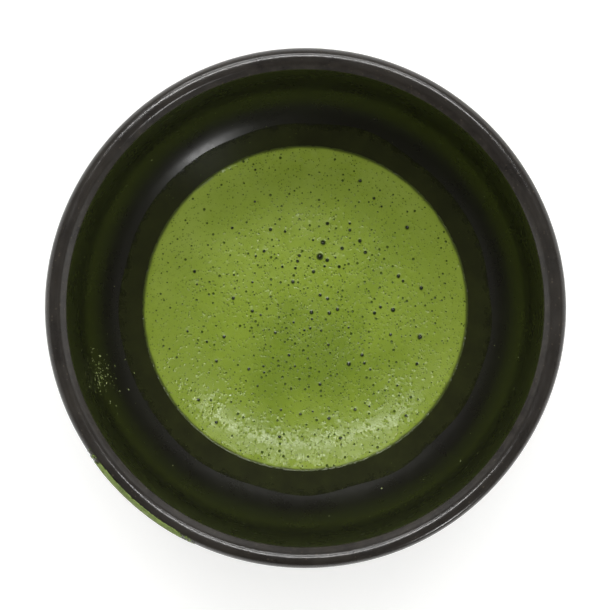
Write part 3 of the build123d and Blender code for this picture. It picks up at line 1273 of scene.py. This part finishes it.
    def foot(self) -> bpy.types.Object:
        """The luted foot ring, rounded and worn where it stands."""
        section = self.section
        outer, inner = section.foot_radius, section.foot_radius - self.foot_width
        top, back = section.foot_height, self.foot_round
        taper = math.degrees(math.atan2(top, self.foot_taper))
        stand_out, stand_in = outer - self.foot_taper, inner + self.foot_taper
        worn = 0.12 * MM
        out_centre = np.array((stand_out - back + worn, back))
        in_centre = np.array((stand_in + back - worn, back))
        outline = joined(
            run([np.array((inner, top)), in_centre + back * outward(-taper)], 0.35 * MM),
            arc(in_centre, back, -taper, 0.0, 0.15 * MM),
            run([in_centre - np.array((0, back)), out_centre - np.array((0, back))], 0.35 * MM),
            arc(out_centre, back, 0.0, taper, 0.15 * MM),
            run([out_centre + back * outward(taper), np.array((outer, top))], 0.35 * MM),
            run([np.array((outer, top)), np.array((inner, top))], 1.0 * MM)[:-1],
        )
        share = np.clip((outline[:, 1] - 0.05 * MM) / (0.6 * MM), 0, 1)
        share *= outline[:, 1] < top - 0.2 * MM
        lines = ThrowingLines(0.05 * MM, 1.7 * MM, Wobble(47, 0.05 * MM, (2, 12), 8 * MM))
        return turned("luted_foot_ring", outline, lines, share, around=224)

    def build(self) -> list[bpy.types.Object]:
        """Build and dress the four fired pieces."""
        return [
            self.seat(self.inner_coat(), InsideGlaze(), "inner_glaze"),
            self.seat(self.outer_coat(), OutsideGlaze(), "outer_glaze"),
            self.seat(self.clay(), BareClay(), "clay_body"),
            self.seat(self.foot(), BareClay(), "foot_ring"),
        ]


@dataclass(frozen=True)
class Hollow:
    """One open hollow in the froth."""

    x: float
    y: float
    radius: float


class Neighbours:
    """Round places filed by square cells, so that those near a point are found quickly."""

    def __init__(self, cell: float, items: Iterable[Hollow] = ()) -> None:
        """File the first places.

        Args:
            cell: Width of a cell.
            items: The places.
        """
        self.cell = cell
        self.cells: dict[tuple[int, int], list[Hollow]] = {}
        for item in items:
            self.add(item)

    def key(self, x: float, y: float) -> tuple[int, int]:
        """The cell that a point is in."""
        return int(x // self.cell), int(y // self.cell)

    def add(self, item: Hollow) -> None:
        """File one more place."""
        self.cells.setdefault(self.key(item.x, item.y), []).append(item)

    def near(self, x: float, y: float) -> list[Hollow]:
        """The places in a point's own cell and in the eight round it.

        Args:
            x: The point along X.
            y: The point along Y.

        Returns:
            The places.
        """
        column, row = self.key(x, y)
        return [
            other
            for a in (column - 1, column, column + 1)
            for b in (row - 1, row, row + 1)
            for other in self.cells.get((a, b), ())
        ]


@dataclass(frozen=True)
class Hump:
    """A smooth oval rise, its middle and reach as shares of the froth's edge radius."""

    middle: tuple[float, float]
    reach: tuple[float, float]

    def __call__(self, x: float, y: float) -> float:
        """The rise, from 0 to 1, at a place given in shares of the edge radius."""
        across = (x - self.middle[0]) / self.reach[0]
        up = (y - self.middle[1]) / self.reach[1]
        return math.exp(-(across**2 + up**2))


@dataclass
class SurfaceDraft:
    """Points of the froth's surface, laid out before they are meshed."""

    plan: list[tuple[float, float]] = field(default_factory=list)
    lift: list[float] = field(default_factory=list)
    shade: list[float] = field(default_factory=list)

    def put(self, x: float, y: float, lift: float = 0.0, shade: float = 0.0) -> None:
        """Add one point.

        Args:
            x: Place along X.
            y: Place along Y.
            lift: Its height over the froth's smooth surface.
            shade: How much it lies in a dark hollow.
        """
        self.plan.append((x, y))
        self.lift.append(lift)
        self.shade.append(shade)

    def ring(
        self, item: Hollow, shape: tuple[float, float, float], sides: int, offset: float = 0.0
    ) -> None:
        """Add points round a hollow or a bubble's seat.

        Args:
            item: The hollow or seat.
            shape: Reach and lift as shares of its radius, and the shade.
            sides: Number of points.
            offset: Turn of the first point, as a share of the step.
        """
        reach, lift, shade = shape
        for k in range(sides):
            turn = math.tau * (k + offset) / sides
            x = item.x + reach * item.radius * math.cos(turn)
            y = item.y + reach * item.radius * math.sin(turn)
            self.put(x, y, lift * item.radius, shade)


@dataclass
class WhiskedTea(SubAssembly):
    """The tea in the bowl: liquid, froth and the bubbles that stand on it."""

    section: BowlSection
    flat_radius: float = 24.0 * MM
    climb: float = 4.0 * MM
    hollows: int = 2500
    tries_each: int = 14
    smallest: float = 0.11 * MM
    largest: float = 0.42 * MM
    size_skew: float = 4.5
    hollow_gap: float = 1.35
    small_hollow: float = 0.22 * MM
    hollow_bottom: float = -0.56
    hollow_rings: tuple[tuple[float, float, float], ...] = (
        (1.15, 0.00, 0.00),
        (0.98, 0.05, 0.15),
        (0.74, -0.26, 0.85),
        (0.40, -0.48, 1.0),
    )
    seat_rings: tuple[tuple[float, float, float], ...] = (
        (1.5, 0.0, 0.0),
        (1.2, 0.10, 0.25),
        (0.9, 0.16, 0.25),
    )
    edge_rings: tuple[tuple[float, float], ...] = (
        (1.00 * MM, 0.03 * MM),
        (0.55 * MM, 0.10 * MM),
        (0.22 * MM, 0.14 * MM),
    )
    busiest: Hump = Hump((0.10, -0.05), (0.50, 0.50))
    deepest: Hump = Hump((0.0, -0.30), (0.62, 0.42))
    # A patch of painted sheen: paler froth towards the back and left.
    sheen_patch: Hump = Hump((-0.2, 0.5), (0.6, 0.35))
    beads: int = 70
    bubble_sink: float = 0.45
    bubble_sides: int = 20
    around: int = 320
    mesh_pitch: float = 0.85 * MM
    seed: int = 5

    @cached_property
    def edge_radius(self) -> float:
        """Distance from the axis to the froth's edge."""
        low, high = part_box("froth")
        return max(high.x, -low.x, high.y, -low.y)

    @cached_property
    def edge_z(self) -> float:
        """Height of the froth's edge on the wall."""
        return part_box("froth")[1].z

    @cached_property
    def tea_z(self) -> float:
        """Height of the liquid's surface, which the froth floats on."""
        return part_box("froth")[0].z

    def froth_height(self, x: float, y: float) -> float:
        """Height of the froth's surface at a place, with its slow swells.

        Args:
            x: Place along X.
            y: Place along Y.

        Returns:
            The height above the table.
        """
        radius = math.hypot(x, y)
        span = self.edge_radius - self.flat_radius
        curve = (span**2 + self.climb**2) / (2 * self.climb)
        across = min(max(radius - self.flat_radius, 0.0), span)
        rise = curve - math.sqrt(curve**2 - across**2)
        swell = noise.noise(Vector((x, y, 0.0)) * 95) * 0.10 * MM
        ripple = noise.noise(Vector((x, y, 0.02)) * 420) * 0.016 * MM
        fade = min((self.edge_radius - radius) / (3 * MM), 1.0)
        return self.edge_z - self.climb + rise + (swell + ripple) * max(fade, 0.0)

    def crowding(self, x: float, y: float) -> float:
        """How likely a hollow is at a place: most near the middle, in uneven patches.

        Args:
            x: Place along X.
            y: Place along Y.

        Returns:
            The likelihood, from 0 to 1.
        """
        middle = self.busiest(x / self.edge_radius, y / self.edge_radius)
        patch = 0.5 + 0.5 * noise.noise(Vector((x, y, 0.3)) * 130)
        return min(1.0, 0.16 + 0.84 * middle) * (0.35 + 0.65 * patch)

    def place_hollows(self, taken: Sequence[Hollow]) -> list[Hollow]:
        """Scatter hollows that keep clear of each other and of the standing bubbles.

        Args:
            taken: The places that are already used.

        Returns:
            The hollows.
        """
        draw = random.Random(self.seed)
        filed = Neighbours(2.0 * MM, taken)
        found: list[Hollow] = []
        limit = self.edge_radius - 0.9 * MM
        for _ in range(self.hollows * self.tries_each):
            if len(found) >= self.hollows:
                break
            x, y = draw.uniform(-limit, limit), draw.uniform(-limit, limit)
            growth = draw.random() ** self.size_skew
            size = self.smallest + (self.largest - self.smallest) * growth
            if math.hypot(x, y) > limit or draw.random() > self.crowding(x, y) + 0.12:
                continue
            gaps = ((other, math.hypot(x - other.x, y - other.y)) for other in filed.near(x, y))
            if any(gap < self.hollow_gap * (size + other.radius) for other, gap in gaps):
                continue
            found.append(Hollow(x, y, size))
            filed.add(found[-1])
        return found

    def thickness_and_sheen_tone(self, x: float, y: float) -> float:
        """How thick the froth is at a place, partly real and partly painted sheen: paler in a ring
        near the edge and in one patch.

        Args:
            x: Place along X.
            y: Place along Y.

        Returns:
            The tone, from 0 to 1.
        """
        across, up = x / self.edge_radius, y / self.edge_radius
        # Painted sheen, partly: paler in a ring just inside the froth's edge and in one patch.
        edge = min(max(0.0, (math.hypot(across, up) - 0.72) / 0.24), 1.0)
        low, high = self.deepest(across, up), self.sheen_patch(across, up)
        return min(1.0, max(0.0, 0.50 - 0.34 * low + 0.12 * high + 0.34 * edge))

    def lay_hollows(self, draft: SurfaceDraft, hollows: Sequence[Hollow]) -> None:
        """Lay out the open hollows, the small ones with fewer points.

        Args:
            draft: The surface, which this adds to.
            hollows: The hollows.
        """
        for item in hollows:
            small = item.radius < self.small_hollow
            for shape in self.hollow_rings[::2] if small else self.hollow_rings:
                offset = 0.5 if shape[0] > 0.9 else 0.0
                draft.ring(item, shape, 6 if small else 10, offset)
            draft.put(item.x, item.y, self.hollow_bottom * item.radius, 1.0)

    def lay_seats(self, draft: SurfaceDraft, seats: Sequence[Hollow]) -> None:
        """Lay out the places where bubbles stand, and where the froth rises to meet them.

        Args:
            draft: The surface, which this adds to.
            seats: The bubbles' seats.
        """
        for item in seats:
            for shape in self.seat_rings:
                draft.ring(item, shape, 14)
            draft.put(item.x, item.y, 0.0, 0.3)

    def lay_between(
        self, draft: SurfaceDraft, taken: Sequence[Hollow], draw: random.Random
    ) -> None:
        """Fill the plain surface between hollows and seats with loosely spaced points.

        Args:
            draft: The surface, which this adds to.
            taken: The hollows and seats.
            draw: Source of the uneven spacing.
        """
        filed = Neighbours(1.5 * MM, taken)
        pitch, row_pitch, jitter = self.mesh_pitch, 0.87, 0.3
        count = int(self.edge_radius / pitch) + 1
        for i in range(-count, count + 1):
            for j in range(-count, count + 1):
                x = (i + 0.5 * (j % 2) + draw.uniform(-jitter, jitter)) * pitch
                y = (j + draw.uniform(-jitter, jitter)) * pitch * row_pitch
                if math.hypot(x, y) > self.edge_radius - 1.3 * MM:
                    continue
                gaps = ((o, math.hypot(x - o.x, y - o.y)) for o in filed.near(x, y))
                if not any(gap < 1.6 * o.radius + 0.12 * MM for o, gap in gaps):
                    draft.put(x, y)

    def lay_edge(self, draft: SurfaceDraft, draw: random.Random) -> int:
        """Lay out the rounded edge of the froth along the wall.

        Args:
            draft: The surface, which this adds to.
            draw: Source of the uneven spacing.

        Returns:
            The number of the outermost ring's first point.
        """
        for back, bulge in self.edge_rings:
            radius = self.edge_radius - back
            for k in range(self.around):
                turn = math.tau * (k + draw.uniform(-0.2, 0.2)) / self.around
                draft.put(radius * math.cos(turn), radius * math.sin(turn), bulge)
        start = len(draft.plan)
        for k in range(self.around):
            turn = math.tau * k / self.around
            draft.put(self.edge_radius * math.cos(turn), self.edge_radius * math.sin(turn))
        return start

    def froth(self, hollows: Sequence[Hollow], seats: Sequence[Hollow]) -> bpy.types.Object:
        """The froth as one closed piece: a surface with open hollows, over the liquid.

        Args:
            hollows: The open hollows.
            seats: Where bubbles stand, and the froth rises to meet them.

        Returns:
            The piece.
        """
        draft = SurfaceDraft()
        self.lay_hollows(draft, hollows)
        self.lay_seats(draft, seats)
        draw = random.Random(self.seed + 1)
        self.lay_between(draft, (*hollows, *seats), draw)
        edge_start = self.lay_edge(draft, draw)
        flat = [Vector(place) for place in draft.plan]
        corners, _, top, origins = geometry.delaunay_2d_cdt(flat, [], [], 0, 1e-7)[:4]
        source = [own[0] for own in origins]
        points = [
            (place.x, place.y, self.froth_height(place.x, place.y) + draft.lift[own])
            for place, own in zip(corners, source)
        ]
        where = {own: k for k, own in enumerate(source)}
        rim = [where[edge_start + k] for k in range(self.around)]
        faces = [tuple(face) for face in top] + self.skirt(points, rim)
        item = new_object("froth_layer", points, faces)
        self.paint_froth(item, draft, source)
        return item

    def paint_froth(
        self, item: bpy.types.Object, draft: SurfaceDraft, source: Sequence[int]
    ) -> None:
        """Store the froth's tones on its vertices: hollows, thickness with painted sheen, and the
        dark edge, which is painted shade along the wall.

        Args:
            item: The froth.
            draft: Its surface as laid out.
            source: The draft's point behind each vertex of the surface.
        """
        total = len(item.data.vertices)
        hollow, thick, rim = np.zeros(total), np.full(total, 0.5), np.zeros(total)
        for k, own in enumerate(source):
            x, y = draft.plan[own]
            hollow[k] = draft.shade[own]
            thick[k] = self.thickness_and_sheen_tone(x, y)
            # The rim tone is painted shade: a ragged dark band where the froth meets the wall.
            inside = self.edge_radius - math.hypot(x, y)
            ragged = 0.35 * MM * (1 + noise.noise(Vector((x, y, 0.5)) * 300))
            rim[k] = max(0.0, 1 - inside / (0.75 * MM + ragged))
        for name, values in (("hollow", hollow), ("thick", thick), ("rim", rim)):
            paint(item, name, values)

    def skirt(self, points: list, rim: Sequence[int]) -> list[tuple[int, ...]]:
        """Close the froth along the wall and underneath.

        Args:
            points: The froth's vertices, which this adds to.
            rim: The vertices of its edge, counter-clockwise.

        Returns:
            The faces that close it.
        """
        count = len(rim)
        rings: list[Sequence[int]] = [rim]
        wall = self.section.inside()
        for level in np.linspace(self.edge_z, self.tea_z, 5)[1:]:
            radius = float(np.interp(level, wall[:, 1], wall[:, 0]))
            rings.append(range(len(points), len(points) + count))
            for k in range(count):
                turn = math.tau * k / count
                points.append((radius * math.cos(turn), radius * math.sin(turn), float(level)))
        rings.append([len(points)])
        points.append((0.0, 0.0, float(self.tea_z)))
        return stacked(rings, flip=True)

    def dome_profile(self, rows: int = 7) -> list[tuple[float, float, float]]:
        """The section of a standing bubble, with a small flared foot where it meets the froth.

        Args:
            rows: Rows of the dome's mesh above its foot.

        Returns:
            Reach and height as shares of the radius, and the foot's share, for each ring.
        """
        rings = [(1.24, 0.05, 1.0), (1.06, 0.15, 0.85)]
        start = math.asin(0.62)
        for k in range(rows):
            angle = start + (math.pi / 2 - start) * k / rows
            up = math.sin(angle) - self.bubble_sink
            rings.append((math.cos(angle), up, max(0.0, 0.5 - k / rows)))
        return rings

    def dome(self, seat: Hollow) -> tuple[list[Point], list[Face]]:
        """One standing bubble.

        Args:
            seat: Where it stands, and its radius.

        Returns:
            Its points and faces.
        """
        level = self.froth_height(seat.x, seat.y)
        profile = self.dome_profile()
        points: list[Point] = []
        for reach, up, _ in profile:
            for k in range(self.bubble_sides):
                turn = math.tau * k / self.bubble_sides
                x = seat.x + reach * seat.radius * math.cos(turn)
                y = seat.y + reach * seat.radius * math.sin(turn)
                points.append((x, y, level + up * seat.radius))
        rings = rings_of(len(profile), self.bubble_sides)
        top, low = len(points), len(points) + 1
        points.append((seat.x, seat.y, level + seat.radius * (1 - self.bubble_sink)))
        points.append((seat.x, seat.y, level - 0.1 * seat.radius))
        return points, stacked([*rings, [top]]) + bridge([low], rings[0])

    def bubbles(self, seats: Sequence[Hollow]) -> bpy.types.Object:
        """All the standing bubbles, as one piece.

        Args:
            seats: Where they stand.

        Returns:
            The piece.
        """
        item = new_object("standing_bubbles", *merged(self.dome(seat) for seat in seats))
        shares = [foot for _, _, foot in self.dome_profile() for _ in range(self.bubble_sides)]
        paint(item, "foot", np.array((*shares, 0.0, 1.0) * len(seats)))
        return item

    def scatter_beads(self, large: Sequence[Hollow]) -> list[Hollow]:
        """Smaller standing bubbles, seeded, between the large ones.

        Args:
            large: The large ones' seats.

        Returns:
            The seats of all of them, the large ones first.
        """
        draw = random.Random(self.seed + 7)
        found = list(large)
        limit = self.edge_radius - 3 * MM
        while len(found) < len(large) + self.beads:
            x, y = draw.uniform(-limit, limit), draw.uniform(-limit, limit)
            size = draw.uniform(0.26, 0.44) * MM
            if math.hypot(x, y) > limit or draw.random() > self.crowding(x, y) ** 1.3:
                continue
            if any(math.hypot(x - o.x, y - o.y) < 1.8 * (size + o.radius) for o in found):
                continue
            found.append(Hollow(x, y, size))
        return found

    def build(self) -> list[bpy.types.Object]:
        """Build and dress the froth and its bubbles, and dress the liquid."""
        large = [Hollow(place.x, place.y, half) for place, half in islands("froth_bubbles")]
        seats = self.scatter_beads(large)
        hollows = self.place_hollows([Hollow(s.x, s.y, 1.3 * s.radius) for s in seats])
        froth = self.seat(self.froth(hollows, seats), Froth(), "froth")
        bubbles = self.seat(self.bubbles(seats), BubbleSkin(), "froth_bubbles")
        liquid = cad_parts["tea"]
        ClearTea().wear(liquid)
        return [froth, bubbles, liquid]


@dataclass
class TeaTraces(SubAssembly):
    """What the tea has left on the bowl: the wet film, dried splashes and the run."""

    section: BowlSection
    film_thickness: float = 0.08 * MM
    film_least: float = 0.012 * MM
    spray_azimuth: float = 198.0
    spray_rise: float = 11.5 * MM
    spray_spread: float = 3.2
    spray_drops: int = 120
    stray_drops: int = 70
    drop_sides: int = 12
    run_centre: float = 229.0
    run_half_width: float = 16.0
    run_thickness: float = 0.16 * MM
    run_top_tilt: float = 152.0
    run_drop: float = 12.0 * MM
    run_columns: int = 150
    seed: int = 9

    def film(self) -> bpy.types.Object:
        """The wet band above the froth, thinnest at its wavy upper edge."""
        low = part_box("froth")[1].z - 0.5 * MM
        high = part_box("tea_film")[1].z
        around, rows = 320, 12
        azimuths = [math.tau * k / around for k in range(around)]
        crest = Wobble(61, 0.22 * MM, (2, 14), 1.0, 12)
        tops = [high - 0.5 * MM + float(crest(np.array(a), np.array(0.0))) for a in azimuths]
        points: list[Vector] = []
        cover: list[float] = []
        for proud in (True, False):
            for row in range(rows + 1):
                share = row / rows
                full = self.film_thickness * (1 - share) ** 0.7 + self.film_least
                for azimuth, top in zip(azimuths, tops):
                    height = low + (min(top, high) - low) * share
                    place, tilt = self.section.inside_place(height)
                    place = place - outward(tilt) * (full if proud else 0.002 * MM)
                    points.append(at_azimuth(place, azimuth))
                    cover.append(1.75 - 1.25 * share)
        rings = rings_of(2 * (rows + 1), around)
        front, back = rings[: rows + 1], rings[rows + 1 :]
        faces = stacked(front) + stacked(back[::-1])
        faces += bridge(front[0], back[0], flip=True) + bridge(front[-1], back[-1])
        item = new_object("wet_film_band", points, faces)
        item.data.set_sharp_from_angle(angle=math.radians(30))
        paint(item, "cover", np.array(cover))
        return item

    def drop(self, azimuth: float, height: float, radius: float, draw: random.Random) -> tuple:
        """One dried drop on the inside wall, low and uneven.

        Args:
            azimuth: In radians.
            height: Height of its middle.
            radius: Its mean radius.
            draw: Source of its uneven outline.

        Returns:
            Its points and faces.
        """
        place, tilt = self.section.inside_place(height)
        centre = at_azimuth(place, azimuth)
        normal, rise = at_azimuth(-outward(tilt), azimuth), at_azimuth(along(tilt), azimuth)
        side = Vector((-math.sin(azimuth), math.cos(azimuth), 0.0))
        long_way = draw.uniform(0.8, 1.7)
        turn_by = draw.uniform(0, math.tau)
        lobes = [draw.uniform(0.75, 1.2) for _ in range(self.drop_sides)]
        points: list[Vector] = []
        for reach, lift in ((1.0, -0.10), (0.88, 0.16), (0.5, 0.36)):
            for k, lobe in enumerate(lobes):
                turn = math.tau * k / self.drop_sides
                u = reach * radius * lobe * math.cos(turn) * long_way
                v = reach * radius * lobe * math.sin(turn)
                a = u * math.cos(turn_by) - v * math.sin(turn_by)
                b = u * math.sin(turn_by) + v * math.cos(turn_by)
                points.append(centre + side * a + rise * b + normal * lift * radius)
        rings = rings_of(3, self.drop_sides)
        top, low = len(points), len(points) + 1
        points.append(centre + normal * 0.42 * radius)
        points.append(centre - normal * 0.10 * radius)
        return points, stacked([*rings, [top]], flip=True) + bridge(rings[0], [low])

    def splashes(self) -> bpy.types.Object:
        """Dried drops at the CAD's places, with finer spray around the main cluster."""
        draw = random.Random(self.seed)
        drops = []
        for place, half in islands("wall_splashes"):
            drops.append((math.atan2(place.y, place.x), place.z, 0.85 * half))
        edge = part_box("froth")[1].z
        for _ in range(self.spray_drops):
            turn = math.radians(draw.gauss(0, self.spray_spread))
            azimuth = math.radians(self.spray_azimuth) + turn
            height = edge + self.spray_rise + draw.gauss(0, self.spray_spread) * MM
            drops.append((azimuth, height, draw.uniform(0.07, 0.19) * MM))
        for _ in range(self.stray_drops):
            azimuth = draw.uniform(0, math.tau)
            height = edge + draw.uniform(1.0, 22.0) * MM
            drops.append((azimuth, height, draw.uniform(0.04, 0.11) * MM))
        item = new_object("dried_splashes", *merged(self.drop(*place, draw) for place in drops))
        paint(item, "cover", np.ones(len(item.data.vertices)))
        return item

    def run_field(self, azimuth: float, distance: float) -> float:
        """How much tea lies at a place of the run, below nothing where there is none.

        Args:
            azimuth: In degrees.
            distance: Distance from the start of the run, down the outside.

        Returns:
            The amount, up to about 1.
        """
        across = (azimuth - self.run_centre) / self.run_half_width
        body = 1.0 - abs(across) ** 2.2
        streak = noise.noise(Vector((azimuth * 0.35, 3.1, 0.0)))
        reach = (6.5 + 6.0 * streak + 3.0 * body) * MM
        down = 1.0 - max(distance, 0.0) / max(reach, 1.5 * MM)
        fine = noise.noise(Vector((azimuth * 1.3, distance / MM * 0.9, 7.7)))
        return min(body * 1.3, down * 1.6, 1.0) + 0.35 * fine

    def run_path(self) -> np.ndarray:
        """The way that the run takes over the lip and down the outside, as a section."""
        section = self.section
        centre, radius, wall = section.lip_outer_centre, section.lip_outer_round, section.wall_tilt
        below = centre + radius * outward(wall)
        return joined(
            arc(centre, radius, self.run_top_tilt, wall, 0.2 * MM),
            run([below, below - self.run_drop * along(wall)], 0.3 * MM),
        )

    def run_faces(self, amounts: np.ndarray) -> list[Face]:
        """Faces of the run's two sides and its edge, where there is tea.

        Args:
            amounts: How much tea lies at each row and column of points.

        Returns:
            The faces, the back's points following all of the front's.
        """
        rows, wide = amounts.shape
        back = rows * wide
        kept = {
            (row, column): None
            for row in range(rows - 1)
            for column in range(wide - 1)
            if amounts[row : row + 2, column : column + 2].max() > 0.0
        }
        faces: list[Face] = []
        for row, column in kept:
            a, b = row * wide + column, (row + 1) * wide + column
            faces.append((a, b, b + 1, a + 1))
            faces.append((back + a, back + a + 1, back + b + 1, back + b))
            sides = (
                ((row, column - 1), b, a),
                ((row, column + 1), a + 1, b + 1),
                ((row - 1, column), a, a + 1),
                ((row + 1, column), b + 1, b),
            )
            for neighbour, first, second in sides:
                if neighbour not in kept:
                    faces.append((first, second, back + second, back + first))
        return faces

    def lip_run(self) -> bpy.types.Object:
        """The run of tea over the outside of the lip, thick in the middle and ragged."""
        path = self.run_path()
        normals = section_normals(path, closed=False)
        normals *= np.sign(normals[:, :1] + 1e-9)
        lengths = np.concatenate(([0.0], np.cumsum(np.linalg.norm(np.diff(path, axis=0), axis=1))))
        low, width = self.run_centre - self.run_half_width, 2 * self.run_half_width
        azimuths = [low + width * k / self.run_columns for k in range(self.run_columns + 1)]
        amounts = np.array([[self.run_field(a, float(way)) for a in azimuths] for way in lengths])
        amounts[0, :] = np.minimum(amounts[0, :], 0.05)
        points: list[Vector] = []
        cover: list[float] = []
        for proud in (True, False):
            for row, place in enumerate(path):
                for column, azimuth in enumerate(azimuths):
                    amount = max(amounts[row, column], 0.0)
                    lift = self.run_thickness * min(amount, 1.0) ** 0.6 if proud else -0.02 * MM
                    flat = place + normals[row] * (lift + 0.09 * MM)
                    points.append(at_azimuth(flat, math.radians(azimuth)))
                    cover.append(0.12 + 0.95 * amount)
        faces = self.run_faces(amounts)
        used = sorted({k for face in faces for k in face})
        number = {old: new for new, old in enumerate(used)}
        faces = [tuple(number[k] for k in face) for face in faces]
        item = new_object("lip_run_crust", [points[k] for k in used], faces)
        paint(item, "cover", np.array([cover[k] for k in used]))
        return item

    def build(self) -> list[bpy.types.Object]:
        """Build and dress the three traces."""
        splash = DriedTea(title="dried_splash", dark=Colour.DRY_TEA, light=Colour.SPLASH_PALE)
        return [
            self.seat(self.film(), WetFilm(), "tea_film"),
            self.seat(self.splashes(), splash, "wall_splashes"),
            self.seat(self.lip_run(), DriedTea(), "lip_run"),
        ]


# ---------------------------------------------------------------- studio


@dataclass(frozen=True)
class SoftLight:
    """A rectangular studio light, aimed at the middle of the bowl."""

    name: str
    azimuth: float
    zenith: float
    distance: float
    width: float
    depth: float
    power: float
    mirrored: bool = True
    lighting: bool = True

    def place(self, target: Vector) -> bpy.types.Object:
        """Hang the light and aim it.

        Args:
            target: What it is aimed at.

        Returns:
            The light's object.
        """
        data = bpy.data.lights.new(self.name, "AREA")
        data.shape = "RECTANGLE"
        data.size, data.size_y = self.width, self.depth
        data.energy = self.power
        item = bpy.data.objects.new(self.name, data)
        bpy.context.scene.collection.objects.link(item)
        turn, down = math.radians(self.azimuth), math.radians(self.zenith)
        back = at_azimuth((math.sin(down), math.cos(down)), turn)
        item.location = target + back * self.distance
        item.visible_glossy = self.mirrored
        item.visible_diffuse = self.lighting
        item.rotation_mode = "QUATERNION"
        item.rotation_quaternion = (-back).to_track_quat("-Z", "Y")
        return item


@dataclass
class Studio:
    """Pale floor, soft light and the camera straight above the bowl."""

    section: BowlSection
    camera_rise: float = 0.489
    rim_share: float = 0.853
    shift_x: float = -0.0004
    shift_y: float = 0.0056
    sensor: float = 36.0
    floor_half: float = 6.0
    floor_glow: float = 0.34
    backdrop: float = 0.92
    low_band: tuple[float, float, float, float] = (0.10, 0.32, 1.35, 0.22)
    overhead_band: tuple[float, float, float, float] = (0.80, 0.97, 1.0, 0.15)
    behind_band: tuple[float, float, float, float] = (-0.75, -0.2, 0.18, 1.0)
    lights: tuple[SoftLight, ...] = (
        SoftLight("window", 90.0, 33.0, 1.5, 1.2, 0.40, 8.0, False),
        SoftLight("window_low", 90.0, 44.0, 1.48, 1.3, 0.12, 8.0, True, False),
        SoftLight("window_high", 90.0, 24.0, 1.48, 1.2, 0.10, 12.0, True, False),
        SoftLight("lamp", -57.0, 64.0, 1.5, 0.26, 0.14, 3.2),
        SoftLight("fill", 90.0, 4.0, 1.6, 2.2, 2.2, 31.0, False),
    )

    def floor(self) -> None:
        """A plain pale floor, which isn't part of the object."""
        half = self.floor_half
        corners = ((-half, -half, 0.0), (half, -half, 0.0), (half, half, 0.0), (-half, half, 0.0))
        item = new_object("studio_floor", corners, [(0, 1, 2, 3)])
        made = bpy.data.materials.new("studio_floor")
        made.use_nodes = True
        shader = made.node_tree.nodes["Principled BSDF"]
        shader.inputs["Base Color"].default_value = Colour.FLOOR.rgba
        shader.inputs["Roughness"].default_value = 0.9
        shader.inputs["Specular IOR Level"].default_value = 0.1
        shader.inputs["Emission Color"].default_value = Colour.FLOOR.rgba
        shader.inputs["Emission Strength"].default_value = self.floor_glow
        item.data.materials.append(made)

    def sky(self) -> None:
        """Soft light from all round: pale low down, dark overhead and behind the camera."""
        world = bpy.data.worlds.new("studio")
        bpy.context.scene.world = world
        world.use_nodes = True
        world.node_tree.nodes.clear()
        graph = Graph(world.node_tree)
        ray = graph.add("TexCoord").outputs["Generated"]
        parts = graph.add("SeparateXYZ", {0: ray})
        low = graph.ramp(parts.outputs[2], *self.low_band)
        low = graph.maths("MULTIPLY", low, graph.ramp(parts.outputs[2], *self.overhead_band))
        behind = graph.ramp(parts.outputs[1], *self.behind_band)
        soft = graph.maths("MULTIPLY", low, behind)
        seen = graph.add("LightPath").outputs["Is Camera Ray"]
        inputs = {"Factor": seen, 2: soft, 3: self.backdrop}
        strength = graph.add("Mix", inputs, data_type="FLOAT")
        back = graph.add("Background", {"Color": (1.0, 0.99, 0.97, 1.0)})
        graph.tree.links.new(strength.outputs[0], back.inputs["Strength"])
        output = graph.add("OutputWorld")
        graph.tree.links.new(back.outputs[0], output.inputs[0])

    def camera(self) -> bpy.types.Object:
        """The camera, straight above the bowl and looking down."""
        data = bpy.data.cameras.new("overhead")
        data.sensor_width = self.sensor
        across = 2 * self.section.rim_radius / self.rim_share
        data.lens = self.sensor * self.camera_rise / across
        data.shift_x, data.shift_y = self.shift_x, self.shift_y
        data.clip_start, data.clip_end = 0.01, 20.0
        item = bpy.data.objects.new("overhead", data)
        bpy.context.scene.collection.objects.link(item)
        widest = self.section.height - self.section.lip_outer_round
        item.location = (0.0, 0.0, widest + self.camera_rise)
        bpy.context.scene.camera = item
        return item

    def build(self) -> None:
        """Set out the floor, the sky, the lights and the camera."""
        bpy.context.scene.view_settings.view_transform = "Standard"
        self.floor()
        self.sky()
        target = Vector((0.0, 0.0, 0.6 * self.section.height))
        for light in self.lights:
            light.place(target)
        self.camera()


def report(label: str, items: Sequence[bpy.types.Object]) -> None:
    """Log each piece of a sub-assembly with its number of faces.

    Args:
        label: The sub-assembly's name.
        items: Its pieces.
    """
    for item in items:
        LOG.info("%s: %s, %d faces", label, item.name, len(item.data.polygons))


def main() -> None:
    """Build the studio and every sub-assembly, and report the pieces."""
    logging.basicConfig(level=logging.INFO, format="%(name)s %(message)s")
    section = BowlSection()
    Studio(section).build()
    report("bowl", GlazedBowl(section).build())
    report("tea", WhiskedTea(section).build())
    report("traces", TeaTraces(section).build())


if __name__ == "__main__":
    main()
